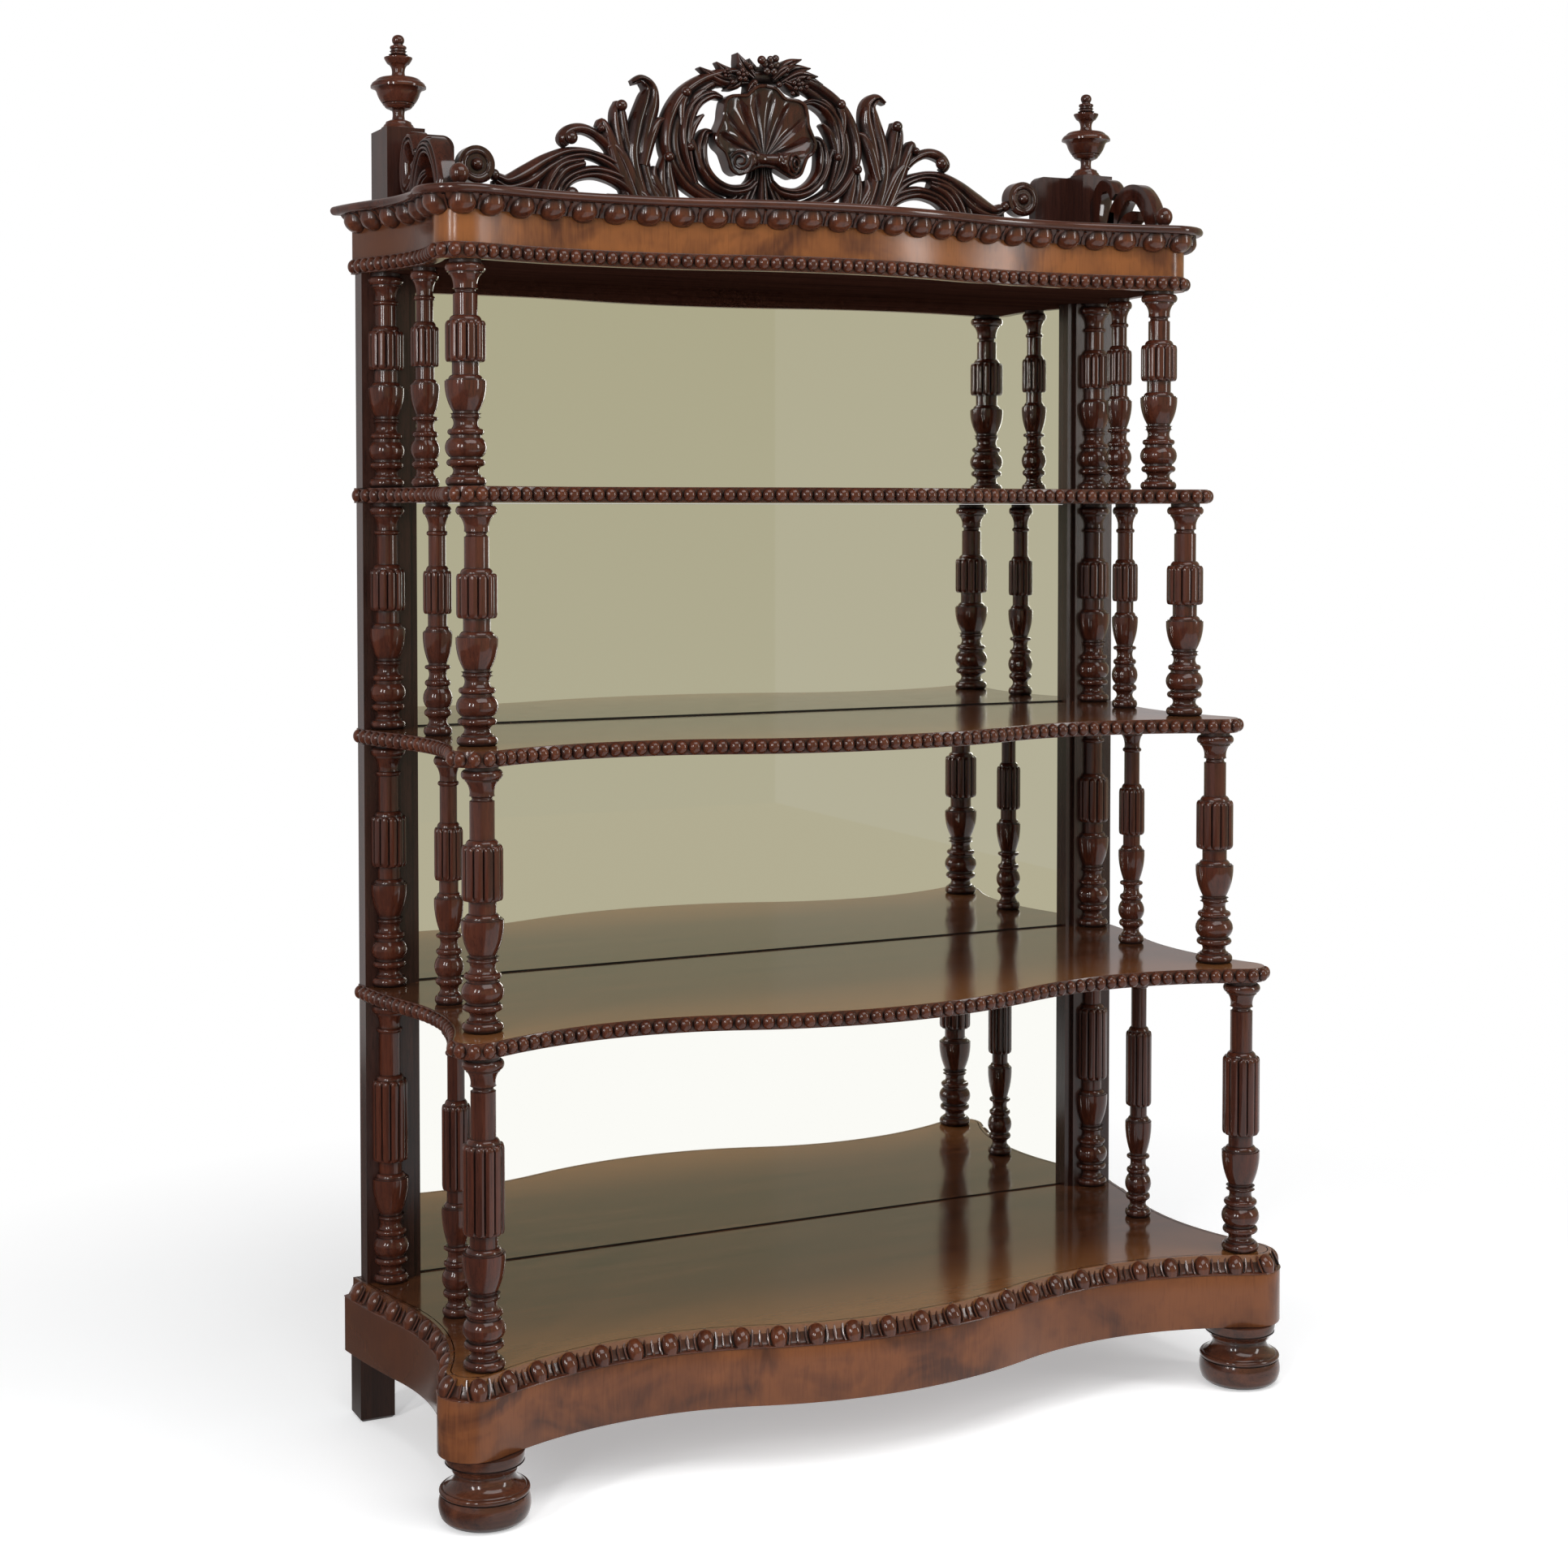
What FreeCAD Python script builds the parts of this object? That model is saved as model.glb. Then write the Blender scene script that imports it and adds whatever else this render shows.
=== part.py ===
import FreeCAD, Part
import math
import os
from FreeCAD import Vector

# Mirror-backed serpentine etagere: a mahogany plinth on bun feet, three shelves and a canopy carried by
# turned columns in front of a mirrored back, with a pierced carved crest between two urn finials.
# Frame: +Z up from the floor, +X to the viewer's right, -Y to the front. Millimetres.
# Depths are given forward of the mirror face, so that every tier shares one reference plane.

# ---- heights ----
foot_height = 95.0
frieze_height = 82.0
base_board_thickness = 27.0
tier_heights = (419.0, 358.0, 332.0, 313.0)
shelf_thickness = 22.0
canopy_frieze_height = 86.0
soffit_thickness = 12.0
top_board_thickness = 13.0

# ---- columns, from the lowest tier up: distance from the centre plane and forward of the mirror ----
front_column_x = (614.0, 597.0, 582.0, 575.0)
front_column_out = (443.0, 394.0, 332.0, 268.0)
middle_column_x = (577.0, 578.0, 583.0, 590.0)
middle_column_out = (218.0, 193.0, 163.0, 132.0)
front_column_radius = 29.0
middle_column_radius = 21.0
half_column_radius = 27.0
vase_heights = (51.0, 47.0, 44.0, 42.0)
drum_heights = (121.0, 75.0, 61.0, 57.0)
reed_count = 12
pin_radius = 6.0
pin_length = 8.0
pin_clearance = 0.15
knob_pin_radius = 3.0
socket_spare = 1.0

# ---- plan of each level: base, shelves 1 to 3, canopy ----
bow_out = (498.0, 500.0, 444.0, 392.0, 321.0)
valley_radius = (500.0, 460.0, 410.0, 470.0, 680.0)
waist_x = (630.0, 621.0, 616.0, 610.0, 608.0)
waist_radius = (400.0, 400.0, 400.0, 380.0, 320.0)
return_radius = (1500.0, 800.0, 480.0, 450.0, 450.0)
plinth_side_x = 670.0
strip_proud = 2.5
base_corner_radius = 49.0
base_corner_offset = 15.0
shelf_corner_radius = 41.0
canopy_corner_radius = 36.0
corner_offset_x = 6.0
corner_offset_y = 5.0
bow_radius = 650.0

# ---- mouldings ----
bead_radius = 7.5
bead_sink = 1.0
bead_strip_thickness = 3.5
bead_pitch = 17.5
bead_bury = 0.5
egg_pitch = 48.0
egg_radius = 11.0
egg_half_height = 13.2
egg_bury = 0.5
base_moulding_depth = 13.0
base_moulding_proud = 2.0
ovolo_fillet = 4.0
ovolo_hollow = 2.6
ovolo_shoulder = 6.0
ovolo_rim = 3.0
null_pitch = 49.0
null_radius = 21.0
null_height = 27.0
null_centre_out = 4.0
null_back = 1.5
null_bury = 0.7
cornice_core = 19.0
cornice_swell_out = 14.0
cornice_swell_down = 12.5
end_trim_degrees = 4.0
top_board_overhang = 30.0
nosing_radius = 6.0

# ---- back frame ----
stile_inner_x = 578.0
stile_outer_x = 650.0
stile_front_out = 21.0
frame_behind = 11.0
mirror_thickness = 4.0
glass_clearance = 0.5
slip_width = 12.0
slip_depth = 14.0

# ---- plinth and canopy carcase ----
frieze_thickness = 18.0
canopy_frieze_thickness = 16.0
rail_thickness = 16.0
plinth_behind = 20.0
canopy_behind = 15.0
top_behind = 20.0
block_clearance = 0.3

# ---- feet ----
foot_radius = 62.0
spigot_radius = 10.0
spigot_length = 40.0
rear_leg_width = 52.0
rear_leg_depth = 48.0
rear_leg_outer_x = 663.0
rear_block_width = 44.0
rear_tenon_inset = 10.0
rear_tenon_radius = 9.0
rear_block_outside = 11.0
rear_leg_chamfer = 4.0

# ---- ornament on the top board ----
pedestal_outer_x = 622.0
pedestal_width = 57.0
pedestal_front_out = 60.0
pedestal_behind = 19.0
pedestal_height = 110.0
wing_length = 61.0
wing_thickness = 20.0
wing_corner_radius = 18.0
finial_height = 140.0
finial_radius = 40.5
finial_out = 24.0
knob_x = 583.0
knob_out = 268.0
knob_height = 34.0
knob_radius = 13.5
crest_behind = 0.0
crest_thickness = 22.0
crest_relief = 12.0
crest_joint_x = 167.0
bracket_thickness = 28.0

# ---- derived levels ----
carcase_bottom = foot_height
frieze_top = carcase_bottom + frieze_height
base_top = frieze_top + base_board_thickness
tier_floor = [base_top]
for height in tier_heights[:3]:
    tier_floor.append(tier_floor[-1] + height + shelf_thickness)
tier_ceiling = [floor + height for floor, height in zip(tier_floor, tier_heights)]
canopy_bottom = tier_ceiling[3]
canopy_top = canopy_bottom + canopy_frieze_height
deck = canopy_top + top_board_thickness

# the origin lies midway between the fronts of the bun feet and the back of the plinth
mirror_y = (front_column_out[0] + foot_radius - plinth_behind) / 2
stile_face_y = mirror_y - stile_front_out
frame_back_y = mirror_y + frame_behind
plinth_back_y = mirror_y + plinth_behind
canopy_back_y = mirror_y + canopy_behind
bead_band = bead_strip_thickness + bead_radius - bead_sink
UP = Vector(0, 0, 1)
REACH = 2000.0
SAME_PLACE = 1e-6
LEVEL_EDGE = 0.01

os.makedirs("parts", exist_ok=True)


def save(name, shape):
    """Write one named piece."""
    shape.exportStep("parts/" + name + ".step")


def box(x0, x1, y0, y1, z0, z1):
    """Block between two opposite corners."""
    return Part.makeBox(x1 - x0, y1 - y0, z1 - z0, Vector(x0, y0, z0))


def mirrored(shape):
    """The same piece on the other side of the centre plane."""
    return shape.mirror(Vector(0, 0, 0), Vector(1, 0, 0))


def peg(x, y, z0, z1, radius):
    """Upright round pin, or the hole for it."""
    return Part.makeCylinder(radius, z1 - z0, Vector(x, y, z0), UP)


def face_of(segments):
    """Flat face inside straight runs (two points) and round stretches (three points)."""
    edges = []
    for points in segments:
        if len(points) == 2:
            edges.append(Part.makeLine(*points))
        else:
            edges.append(Part.Arc(*points).toShape())
    return Part.Face(Part.Wire(edges))


# ==== plan outlines ====
def meeting(first, from_first, second, from_second):
    """Point at given distances from two others, to the left of the way from the first to the second."""
    way = second - first
    along = (from_first ** 2 - from_second ** 2 + way.Length ** 2) / (2 * way.Length)
    aside = math.sqrt(from_first ** 2 - along ** 2)
    return first + (way * along + Vector(-way.y, way.x, 0) * aside) * (1 / way.Length)


def heading(start, end):
    """Direction from one point to another as an angle."""
    return math.atan2(end.y - start.y, end.x - start.x)


class Plan:
    """Outline of one level from above: straight back, ogee sides, round corners, bowed front.

    Every stretch is an arc tangent to the next, so a parallel outline only changes the radii. The sides
    are given by their half-width at the waist and where they pass the mirror.
    """

    def __init__(self, corner_x, corner_y, corner_radius, level, side_x, back_y):
        self.back_y = back_y
        hollow = valley_radius[level]
        inward = waist_radius[level]
        outward = return_radius[level]
        bow = Vector(0, mirror_y - bow_out[level] + bow_radius, 0)
        corner = Vector(corner_x, corner_y, 0)
        valley = meeting(corner, corner_radius + hollow, bow, bow_radius + hollow)
        waist_cx = waist_x[level] + inward
        waist_cy = corner_y + math.sqrt((inward + corner_radius) ** 2 - (waist_cx - corner_x) ** 2)
        waist = Vector(waist_cx, waist_cy, 0)
        end = meeting(waist, inward + outward, Vector(side_x, mirror_y, 0), outward)
        valley_to_bow = heading(valley, bow)
        corner_to_valley = heading(corner, valley)
        corner_to_waist = heading(corner, waist)
        waist_to_end = heading(waist, end)
        # centre, radius, first and last angle, +1 where the edge bulges and -1 where it hollows
        self.arcs = [
            (bow, bow_radius, -math.pi / 2, valley_to_bow - math.pi, 1),
            (valley, hollow, valley_to_bow, corner_to_valley + math.pi, -1),
            (corner, corner_radius, corner_to_valley, corner_to_waist, 1),
            (waist, inward, corner_to_waist + math.pi, waist_to_end, -1),
            (end, outward, waist_to_end - math.pi, None, 1),
        ]

    def half(self, grow):
        """Arcs of the right half from the centre of the front to the back, moved outward by grow."""
        arcs = []
        for centre, radius, first, last, bulge in self.arcs:
            radius = radius + bulge * grow
            if last is None:
                last = math.asin((self.back_y - centre.y) / radius)
            arcs.append((centre.x, centre.y, radius, first, last, bulge))
        return arcs

    def back_x(self, grow=0.0):
        """Half-width along the back edge."""
        cx, cy, radius, first, last, bulge = self.half(grow)[-1]
        return cx + radius * math.cos(last)

    def solid(self, grow, z0, z1):
        """Board of this outline between two heights."""
        edges = []
        for side in (1, -1):
            for cx, cy, radius, first, last, bulge in self.half(grow):
                points = []
                for angle in (first, (first + last) / 2, last):
                    x = side * (cx + radius * math.cos(angle))
                    points.append(Vector(x, cy + radius * math.sin(angle), z0))
                edges.append(Part.Arc(*points).toShape())
        end = self.back_x(grow)
        edges.append(Part.makeLine(Vector(end, self.back_y, z0), Vector(-end, self.back_y, z0)))
        wire = Part.Wire(Part.__sortEdges__(edges))
        return Part.Face(wire).extrude(Vector(0, 0, z1 - z0))

    def band(self, outer, inner, z0, z1):
        """Strip that follows the front and sides between two parallel outlines."""
        return self.solid(outer, z0, z1).cut(self.solid(inner, z0, z1))

    def moulding(self, section, unit, unit_line, pitch, unit_z):
        """Carved moulding along the front and sides, in one length for each arc, butted end to end.

        The section is given as runs of (outward, height) points. The unit is made facing +X at the
        origin and repeated along the outline moved outward by unit_line.
        """
        lengths = []
        arcs = self.half(0.0)
        for arc in arcs:
            cx, cy, radius, first, last, bulge = arc
            profile = []
            for points in section:
                profile.append([Vector(cx + (radius + bulge * grow) * math.cos(first),
                                       cy + (radius + bulge * grow) * math.sin(first), z)
                                for grow, z in points])
            turn = math.degrees(last - first)
            spare = math.copysign(end_trim_degrees, turn) if arc is arcs[-1] else 0.0
            strip = face_of(profile).revolve(Vector(cx, cy, 0), UP, turn + spare)
            line = radius + bulge * unit_line
            count = round(abs(last - first) * line / pitch)
            units = []
            for index in range(count):
                angle = first + (last - first) * (index + 0.5) / count
                copy = unit.copy()
                facing = angle if bulge > 0 else angle + math.pi
                place = Vector(cx + line * math.cos(angle), cy + line * math.sin(angle), unit_z)
                copy.Placement = FreeCAD.Placement(place, FreeCAD.Rotation(UP, math.degrees(facing)))
                units.append(copy)
            length = strip.multiFuse(units)
            if spare:
                length = length.common(box(-REACH, REACH, -REACH, self.back_y, -REACH, REACH * 2))
            lengths.append(length)
        return Part.makeCompound(lengths + [mirrored(length) for length in lengths])


base_plan = Plan(front_column_x[0] + base_corner_offset, mirror_y - front_column_out[0],
                 base_corner_radius, 0, plinth_side_x, plinth_back_y)
# the strips of the shelves stand a little proud of the posts' sides, their beads proud of the strips
shelf_side_x = stile_outer_x + strip_proud + bead_radius - bead_sink
shelf_plans = []
for tier in range(3):
    shelf_plans.append(Plan(front_column_x[tier] + corner_offset_x,
                            mirror_y - front_column_out[tier] + corner_offset_y,
                            shelf_corner_radius, tier + 1, shelf_side_x, frame_back_y))
canopy_plan = Plan(front_column_x[3] + corner_offset_x, mirror_y - front_column_out[3] + corner_offset_y,
                   canopy_corner_radius, 4, stile_outer_x, canopy_back_y)


def column_places(tier):
    """Centres of the four free-standing columns of a tier."""
    places = []
    for side in (-1, 1):
        places.append((side * front_column_x[tier], mirror_y - front_column_out[tier]))
        places.append((side * middle_column_x[tier], mirror_y - middle_column_out[tier]))
    return places


def pin_holes(tier, z0, z1):
    """Sockets for the pins of a tier's columns."""
    return [peg(x, y, z0, z1, pin_radius + pin_clearance) for x, y in column_places(tier)]


def egg(radius, half_height, buried):
    """Egg standing on end at the origin, cut flat behind at the given distance."""
    top = Vector(0, 0, half_height)
    low = Vector(0, 0, -half_height)
    curve = Part.BSplineCurve()
    through = [low]
    for step in range(1, 8):
        turn = math.pi * (step / 8 - 0.5)
        through.append(Vector(radius * math.cos(turn), 0, half_height * math.sin(turn)))
    through.append(top)
    curve.interpolate(through, InitialTangent=Vector(1, 0, 0), FinalTangent=Vector(-1, 0, 0))
    half = Part.Face(Part.Wire([curve.toShape(), Part.makeLine(top, low)]))
    whole = half.revolve(Vector(0, 0, 0), UP, 360)
    return whole.common(box(-buried, REACH, -REACH, REACH, -REACH, REACH))


# ==== plinth ====
frieze = base_plan.band(0, -frieze_thickness, carcase_bottom, frieze_top)
save("plinth_frieze", frieze)

inside = base_plan.solid(-frieze_thickness, carcase_bottom, frieze_top)
rail_front_y = plinth_back_y - rail_thickness
save("plinth_back_rail", inside.common(box(-REACH, REACH, rail_front_y, plinth_back_y, 0, REACH)))

base_board = base_plan.solid(-base_moulding_depth, frieze_top, base_top)
base_board = base_board.cut(Part.makeCompound(pin_holes(0, base_top - pin_length - pin_clearance, base_top)))
save("base_board", base_board)

# ovolo carved with eggs and narrow reeds, glued round the edge of the base board
proud = base_moulding_proud
depth = base_moulding_depth
section = [
    [(-depth, frieze_top), (proud, frieze_top)],
    [(proud, frieze_top), (proud, frieze_top + ovolo_fillet)],
    [(proud, frieze_top + ovolo_fillet), (-ovolo_hollow, base_top - ovolo_shoulder),
     (ovolo_rim - depth, base_top)],
    [(ovolo_rim - depth, base_top), (-depth, base_top)],
    [(-depth, base_top), (-depth, frieze_top)],
]
egg_line = proud - egg_radius
carved_egg = egg(egg_radius, egg_half_height, depth + egg_line - egg_bury)
egg_z = frieze_top + base_board_thickness / 2
save("plinth_nulled_moulding", base_plan.moulding(section, carved_egg, egg_line, egg_pitch, egg_z))

# corner blocks under the base board take the spigots of the feet
foot_x = front_column_x[0]
foot_y = mirror_y - front_column_out[0]
block_radius = base_corner_radius - frieze_thickness - block_clearance
front_block = peg(foot_x + base_corner_offset, foot_y, carcase_bottom, frieze_top, block_radius)
socket_top = carcase_bottom + spigot_length + socket_spare
front_block = front_block.cut(peg(foot_x, foot_y, carcase_bottom, socket_top, spigot_radius + pin_clearance))
leg_inner_x = rear_leg_outer_x - rear_leg_width
tenon_x = leg_inner_x + rear_tenon_inset
tenon_y = rail_front_y - rear_block_width / 2
rear_block_x = tenon_x + rear_block_outside
rear_block = box(rear_block_x - rear_block_width, rear_block_x, rail_front_y - rear_block_width, rail_front_y,
                 carcase_bottom, frieze_top)
inside_frieze = base_plan.solid(-frieze_thickness - block_clearance, carcase_bottom, frieze_top)
rear_block = rear_block.common(inside_frieze)
rear_block = rear_block.cut(peg(tenon_x, tenon_y, carcase_bottom, socket_top,
                                rear_tenon_radius + pin_clearance))
blocks = [front_block, mirrored(front_block), rear_block, mirrored(rear_block)]
save("plinth_corner_blocks", Part.makeCompound(blocks))


# ==== turnings ====
def turning(members, x, y, z, widen=1.0, sweep=360.0):
    """Turned piece from (height, radius at foot, radius at middle, radius at top) members, foot up.

    A middle radius of None gives a straight run.
    """
    segments = []
    level = z
    last = None
    for height, foot, middle, top in members:
        start = Vector(x + foot * widen, y, level)
        end = Vector(x + top * widen, y, level + height)
        if last is None:
            segments.append([Vector(x, y, level), start])
        elif not start.isEqual(last, SAME_PLACE):
            segments.append([last, start])
        if middle is None:
            segments.append([start, end])
        else:
            segments.append([start, Vector(x + middle * widen, y, level + height / 2), end])
        last = end
        level += height
    axis_top = Vector(x, y, level)
    segments.append([last, axis_top])
    segments.append([axis_top, Vector(x, y, z)])
    return face_of(segments).revolve(Vector(x, y, 0), UP, sweep)


FOOT_MEMBERS = (
    (13.0, 24.0, 28.4, 25.0), (2.5, 22.0, None, 22.0), (12.5, 21.5, 17.6, 22.5), (10.0, 23.0, 27.0, 23.0),
    (3.0, 21.5, None, 21.5), (26.0, 23.0, 29.0, 23.0), (4.0, 21.5, None, 21.5), (9.0, 21.5, 25.5, 21.5),
    (15.0, 20.0, 17.0, 19.5), (6.0, 22.0, 25.5, 22.0), (3.0, 18.0, None, 18.0),
)
SHOULDER_MEMBERS = ((2.0, 27.0, None, 27.0), (6.0, 24.0, 23.0, 20.0))
NECK_HEIGHT = 18.0
HEAD_MEMBERS = (
    (7.0, 17.0, 20.8, 17.5), (20.0, 17.0, 17.3, 22.0), (3.0, 23.0, None, 23.0), (12.0, 25.5, 28.4, 25.0),
    (5.0, 22.5, None, 22.5),
)
VASE_FOOT_RADIUS = 18.5
NECK_RADIUS = 18.8
DRUM_RADIUS = 28.4
REED_DEPTH = 3.6
DRUM_END = 5.0
DRUM_SWELL = 27.9
DRUM_COVER = 28.6
SHOULDER_RING = (7.0, 22.5, 21.5, 18.0)
SHAFT_RADIUS = 17.0
TURNED_RADIUS = 29.0


def drum(x, y, z0, z1, widen):
    """Reeded drum: convex reeds that round over at both ends."""
    outer = DRUM_RADIUS * widen
    valley = (DRUM_RADIUS - REED_DEPTH) * widen
    edges = []
    for reed in range(reed_count):
        angles = [2 * math.pi * (reed + part) / reed_count for part in (0, 0.5, 1)]
        radii = (valley, outer, valley)
        points = [Vector(x + r * math.cos(a), y + r * math.sin(a), z0) for r, a in zip(radii, angles)]
        edges.append(Part.Arc(*points).toShape())
    reeds = Part.Face(Part.Wire(edges)).extrude(Vector(0, 0, z1 - z0))
    inset = DRUM_RADIUS - DRUM_END
    members = (
        (DRUM_END, inset, DRUM_SWELL, DRUM_COVER), (z1 - z0 - 2 * DRUM_END, DRUM_COVER, None, DRUM_COVER),
        (DRUM_END, DRUM_COVER, DRUM_SWELL, inset),
    )
    return reeds.common(turning(members, x, y, z0, widen))


def column(tier, x, y, radius, pins):
    """Whole turned column of a tier, standing on the board below and reaching the one above."""
    widen = radius / TURNED_RADIUS
    floor = tier_floor[tier]
    ceiling = tier_ceiling[tier]
    vase = (vase_heights[tier], VASE_FOOT_RADIUS, TURNED_RADIUS - 2.0, TURNED_RADIUS)
    lower = FOOT_MEMBERS + (vase,) + SHOULDER_MEMBERS + ((NECK_HEIGHT, NECK_RADIUS, None, NECK_RADIUS),)
    drum_foot = floor + sum(member[0] for member in lower)
    drum_head = drum_foot + drum_heights[tier]
    head = sum(member[0] for member in HEAD_MEMBERS)
    shaft = ceiling - head - drum_head - SHOULDER_RING[0]
    upper = (SHOULDER_RING, (shaft, SHAFT_RADIUS, None, SHAFT_RADIUS)) + HEAD_MEMBERS
    body = turning(lower, x, y, floor, widen)
    body = body.fuse(turning(upper, x, y, drum_head, widen))
    body = body.fuse(drum(x, y, drum_foot, drum_head, widen))
    if pins:
        body = body.fuse(peg(x, y, floor - pin_length, floor, pin_radius))
        body = body.fuse(peg(x, y, ceiling, ceiling + pin_length, pin_radius))
    return body


for tier in range(4):
    level = "tier_" + str(tier + 1) + "_"
    for place, x, out, radius in (
            ("front", front_column_x[tier], front_column_out[tier], front_column_radius),
            ("middle", middle_column_x[tier], middle_column_out[tier], middle_column_radius)):
        post = column(tier, x, mirror_y - out, radius, True)
        save(level + "right_" + place + "_column", post)
        save(level + "left_" + place + "_column", mirrored(post))

# split turnings planted on the face of each stile
half_x = (stile_inner_x + stile_outer_x) / 2
splits = []
for tier in range(4):
    whole = column(tier, half_x, stile_face_y, half_column_radius, False)
    front_half = box(half_x - REACH, half_x + REACH, stile_face_y - REACH, stile_face_y,
                     tier_floor[tier], tier_ceiling[tier])
    splits.append(whole.common(front_half))
save("right_half_columns", Part.makeCompound(splits))
save("left_half_columns", mirrored(Part.makeCompound(splits)))

# bun feet, each with a turned spigot up into its corner block
BUN_MEMBERS = (
    (28.0, 0.62, 0.955, 1.0), (15.0, 1.0, 0.99, 0.95), (1.0, 0.92, None, 0.92), (17.0, 0.94, 0.86, 0.67),
    (4.0, 0.67, 0.62, 0.64), (2.5, 0.68, None, 0.68),
)
bun = [(height, a * foot_radius, None if m is None else m * foot_radius, b * foot_radius)
       for height, a, m, b in BUN_MEMBERS]
collar = foot_height - sum(member[0] for member in bun)
bun.append((collar, foot_radius * 0.67, foot_radius * 0.82, foot_radius * 0.88))
foot = turning(bun, foot_x, foot_y, 0)
foot = foot.fuse(peg(foot_x, foot_y, foot_height, foot_height + spigot_length, spigot_radius))
save("right_bun_foot", foot)
save("left_bun_foot", mirrored(foot))

leg = box(leg_inner_x, rear_leg_outer_x, plinth_back_y - rear_leg_depth, plinth_back_y, 0, foot_height)
leg = leg.makeChamfer(rear_leg_chamfer, [edge for edge in leg.Edges if edge.BoundBox.ZMax < rear_leg_chamfer])
leg = leg.fuse(peg(tenon_x, tenon_y, foot_height, foot_height + spigot_length, rear_tenon_radius))
save("right_rear_leg", leg)
save("left_rear_leg", mirrored(leg))


# ==== shelves ====
def bead_moulding(plan, edge, z0, z1):
    """Strip of turned beads along the front and sides, on an edge that lies at the given outline."""
    face = edge + bead_strip_thickness
    section = [
        [(edge, z0), (face, z0)], [(face, z0), (face, z1)], [(face, z1), (edge, z1)], [(edge, z1), (edge, z0)],
    ]
    buried = bead_strip_thickness - bead_sink - bead_bury
    bead = Part.makeSphere(bead_radius).common(box(-buried, REACH, -REACH, REACH, -REACH, REACH))
    return plan.moulding(section, bead, face - bead_sink, bead_pitch, (z0 + z1) / 2)


for shelf in range(3):
    plan = shelf_plans[shelf]
    under = tier_ceiling[shelf]
    over = tier_floor[shelf + 1]
    board = plan.solid(-bead_band, under, over)
    sockets = pin_holes(shelf, under, under + pin_length + pin_clearance)
    sockets += pin_holes(shelf + 1, over - pin_length - pin_clearance, over)
    save("shelf_board_" + str(shelf + 1), board.cut(Part.makeCompound(sockets)))
    save("shelf_bead_moulding_" + str(shelf + 1), bead_moulding(plan, -bead_band, under, over))


# ==== canopy ====
save("canopy_frieze", canopy_plan.band(0, -canopy_frieze_thickness, canopy_bottom, canopy_top))
canopy_rail_y = canopy_back_y - rail_thickness
soffit = canopy_plan.solid(-canopy_frieze_thickness, canopy_bottom, canopy_bottom + soffit_thickness)
soffit = soffit.cut(Part.makeCompound(
    pin_holes(3, canopy_bottom, canopy_bottom + pin_length + pin_clearance)))
save("canopy_soffit", soffit)
hollow = canopy_plan.solid(-canopy_frieze_thickness, canopy_bottom + soffit_thickness, canopy_top)
save("canopy_back_rail", hollow.common(box(-REACH, REACH, canopy_rail_y, canopy_back_y, 0, REACH)))
save("canopy_bead_moulding", bead_moulding(canopy_plan, 0, canopy_bottom, canopy_bottom + shelf_thickness))

# cornice: an ovolo core carved into large pendant nulls, under the overhanging top board
null_foot = canopy_top - null_height
web = null_back + null_bury
section = [
    [(0, null_foot), (web, null_foot)],
    [(web, null_foot), (web, canopy_top - cornice_core)],
    [(web, canopy_top - cornice_core), (cornice_swell_out, canopy_top - cornice_swell_down),
     (cornice_core, canopy_top)],
    [(cornice_core, canopy_top), (0, canopy_top)],
    [(0, canopy_top), (0, null_foot)],
]
null = egg(null_radius, null_height, null_centre_out - null_back)
null = null.common(box(-REACH, REACH, -REACH, REACH, -REACH, 0))
save("canopy_nulled_moulding",
     canopy_plan.moulding(section, null, null_centre_out, null_pitch, canopy_top))

top_plan = Plan(front_column_x[3] + corner_offset_x, mirror_y - front_column_out[3] + corner_offset_y,
                canopy_corner_radius, 4, stile_outer_x, mirror_y + top_behind)
top_board = top_plan.solid(top_board_overhang, canopy_top, deck)
rims = [edge for edge in top_board.Edges
        if edge.BoundBox.ZLength < LEVEL_EDGE and edge.BoundBox.YMin < top_plan.back_y - nosing_radius]
top_board = top_board.makeFillet(nosing_radius, rims)
knob_y = mirror_y - knob_out
knob_peg = peg(knob_x, knob_y, deck - pin_length - pin_clearance, deck, knob_pin_radius + pin_clearance)
top_board = top_board.cut(Part.makeCompound([knob_peg, mirrored(knob_peg)]))
save("top_board", top_board)


# ==== back frame ====
stiles = []
slips = []
backs = []
for tier in range(4):
    z0 = tier_floor[tier]
    z1 = tier_ceiling[tier]
    stiles.append(box(stile_inner_x, stile_outer_x, stile_face_y, frame_back_y, z0, z1))
    slip = box(stile_inner_x - slip_width, stile_inner_x, mirror_y - slip_depth, mirror_y, z0, z1)
    slips += [slip, mirrored(slip)]
    pane_x = stile_inner_x - glass_clearance
    pane = box(-pane_x, pane_x, mirror_y, mirror_y + mirror_thickness, z0, z1 - glass_clearance)
    save("mirror_plate_" + str(tier + 1), pane)
    backs.append(box(-pane_x, pane_x, mirror_y + mirror_thickness, frame_back_y, z0, z1 - glass_clearance))
save("right_stiles", Part.makeCompound(stiles))
save("left_stiles", mirrored(Part.makeCompound(stiles)))
save("mirror_slips", Part.makeCompound(slips))
save("mirror_backboards", Part.makeCompound(backs))


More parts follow.
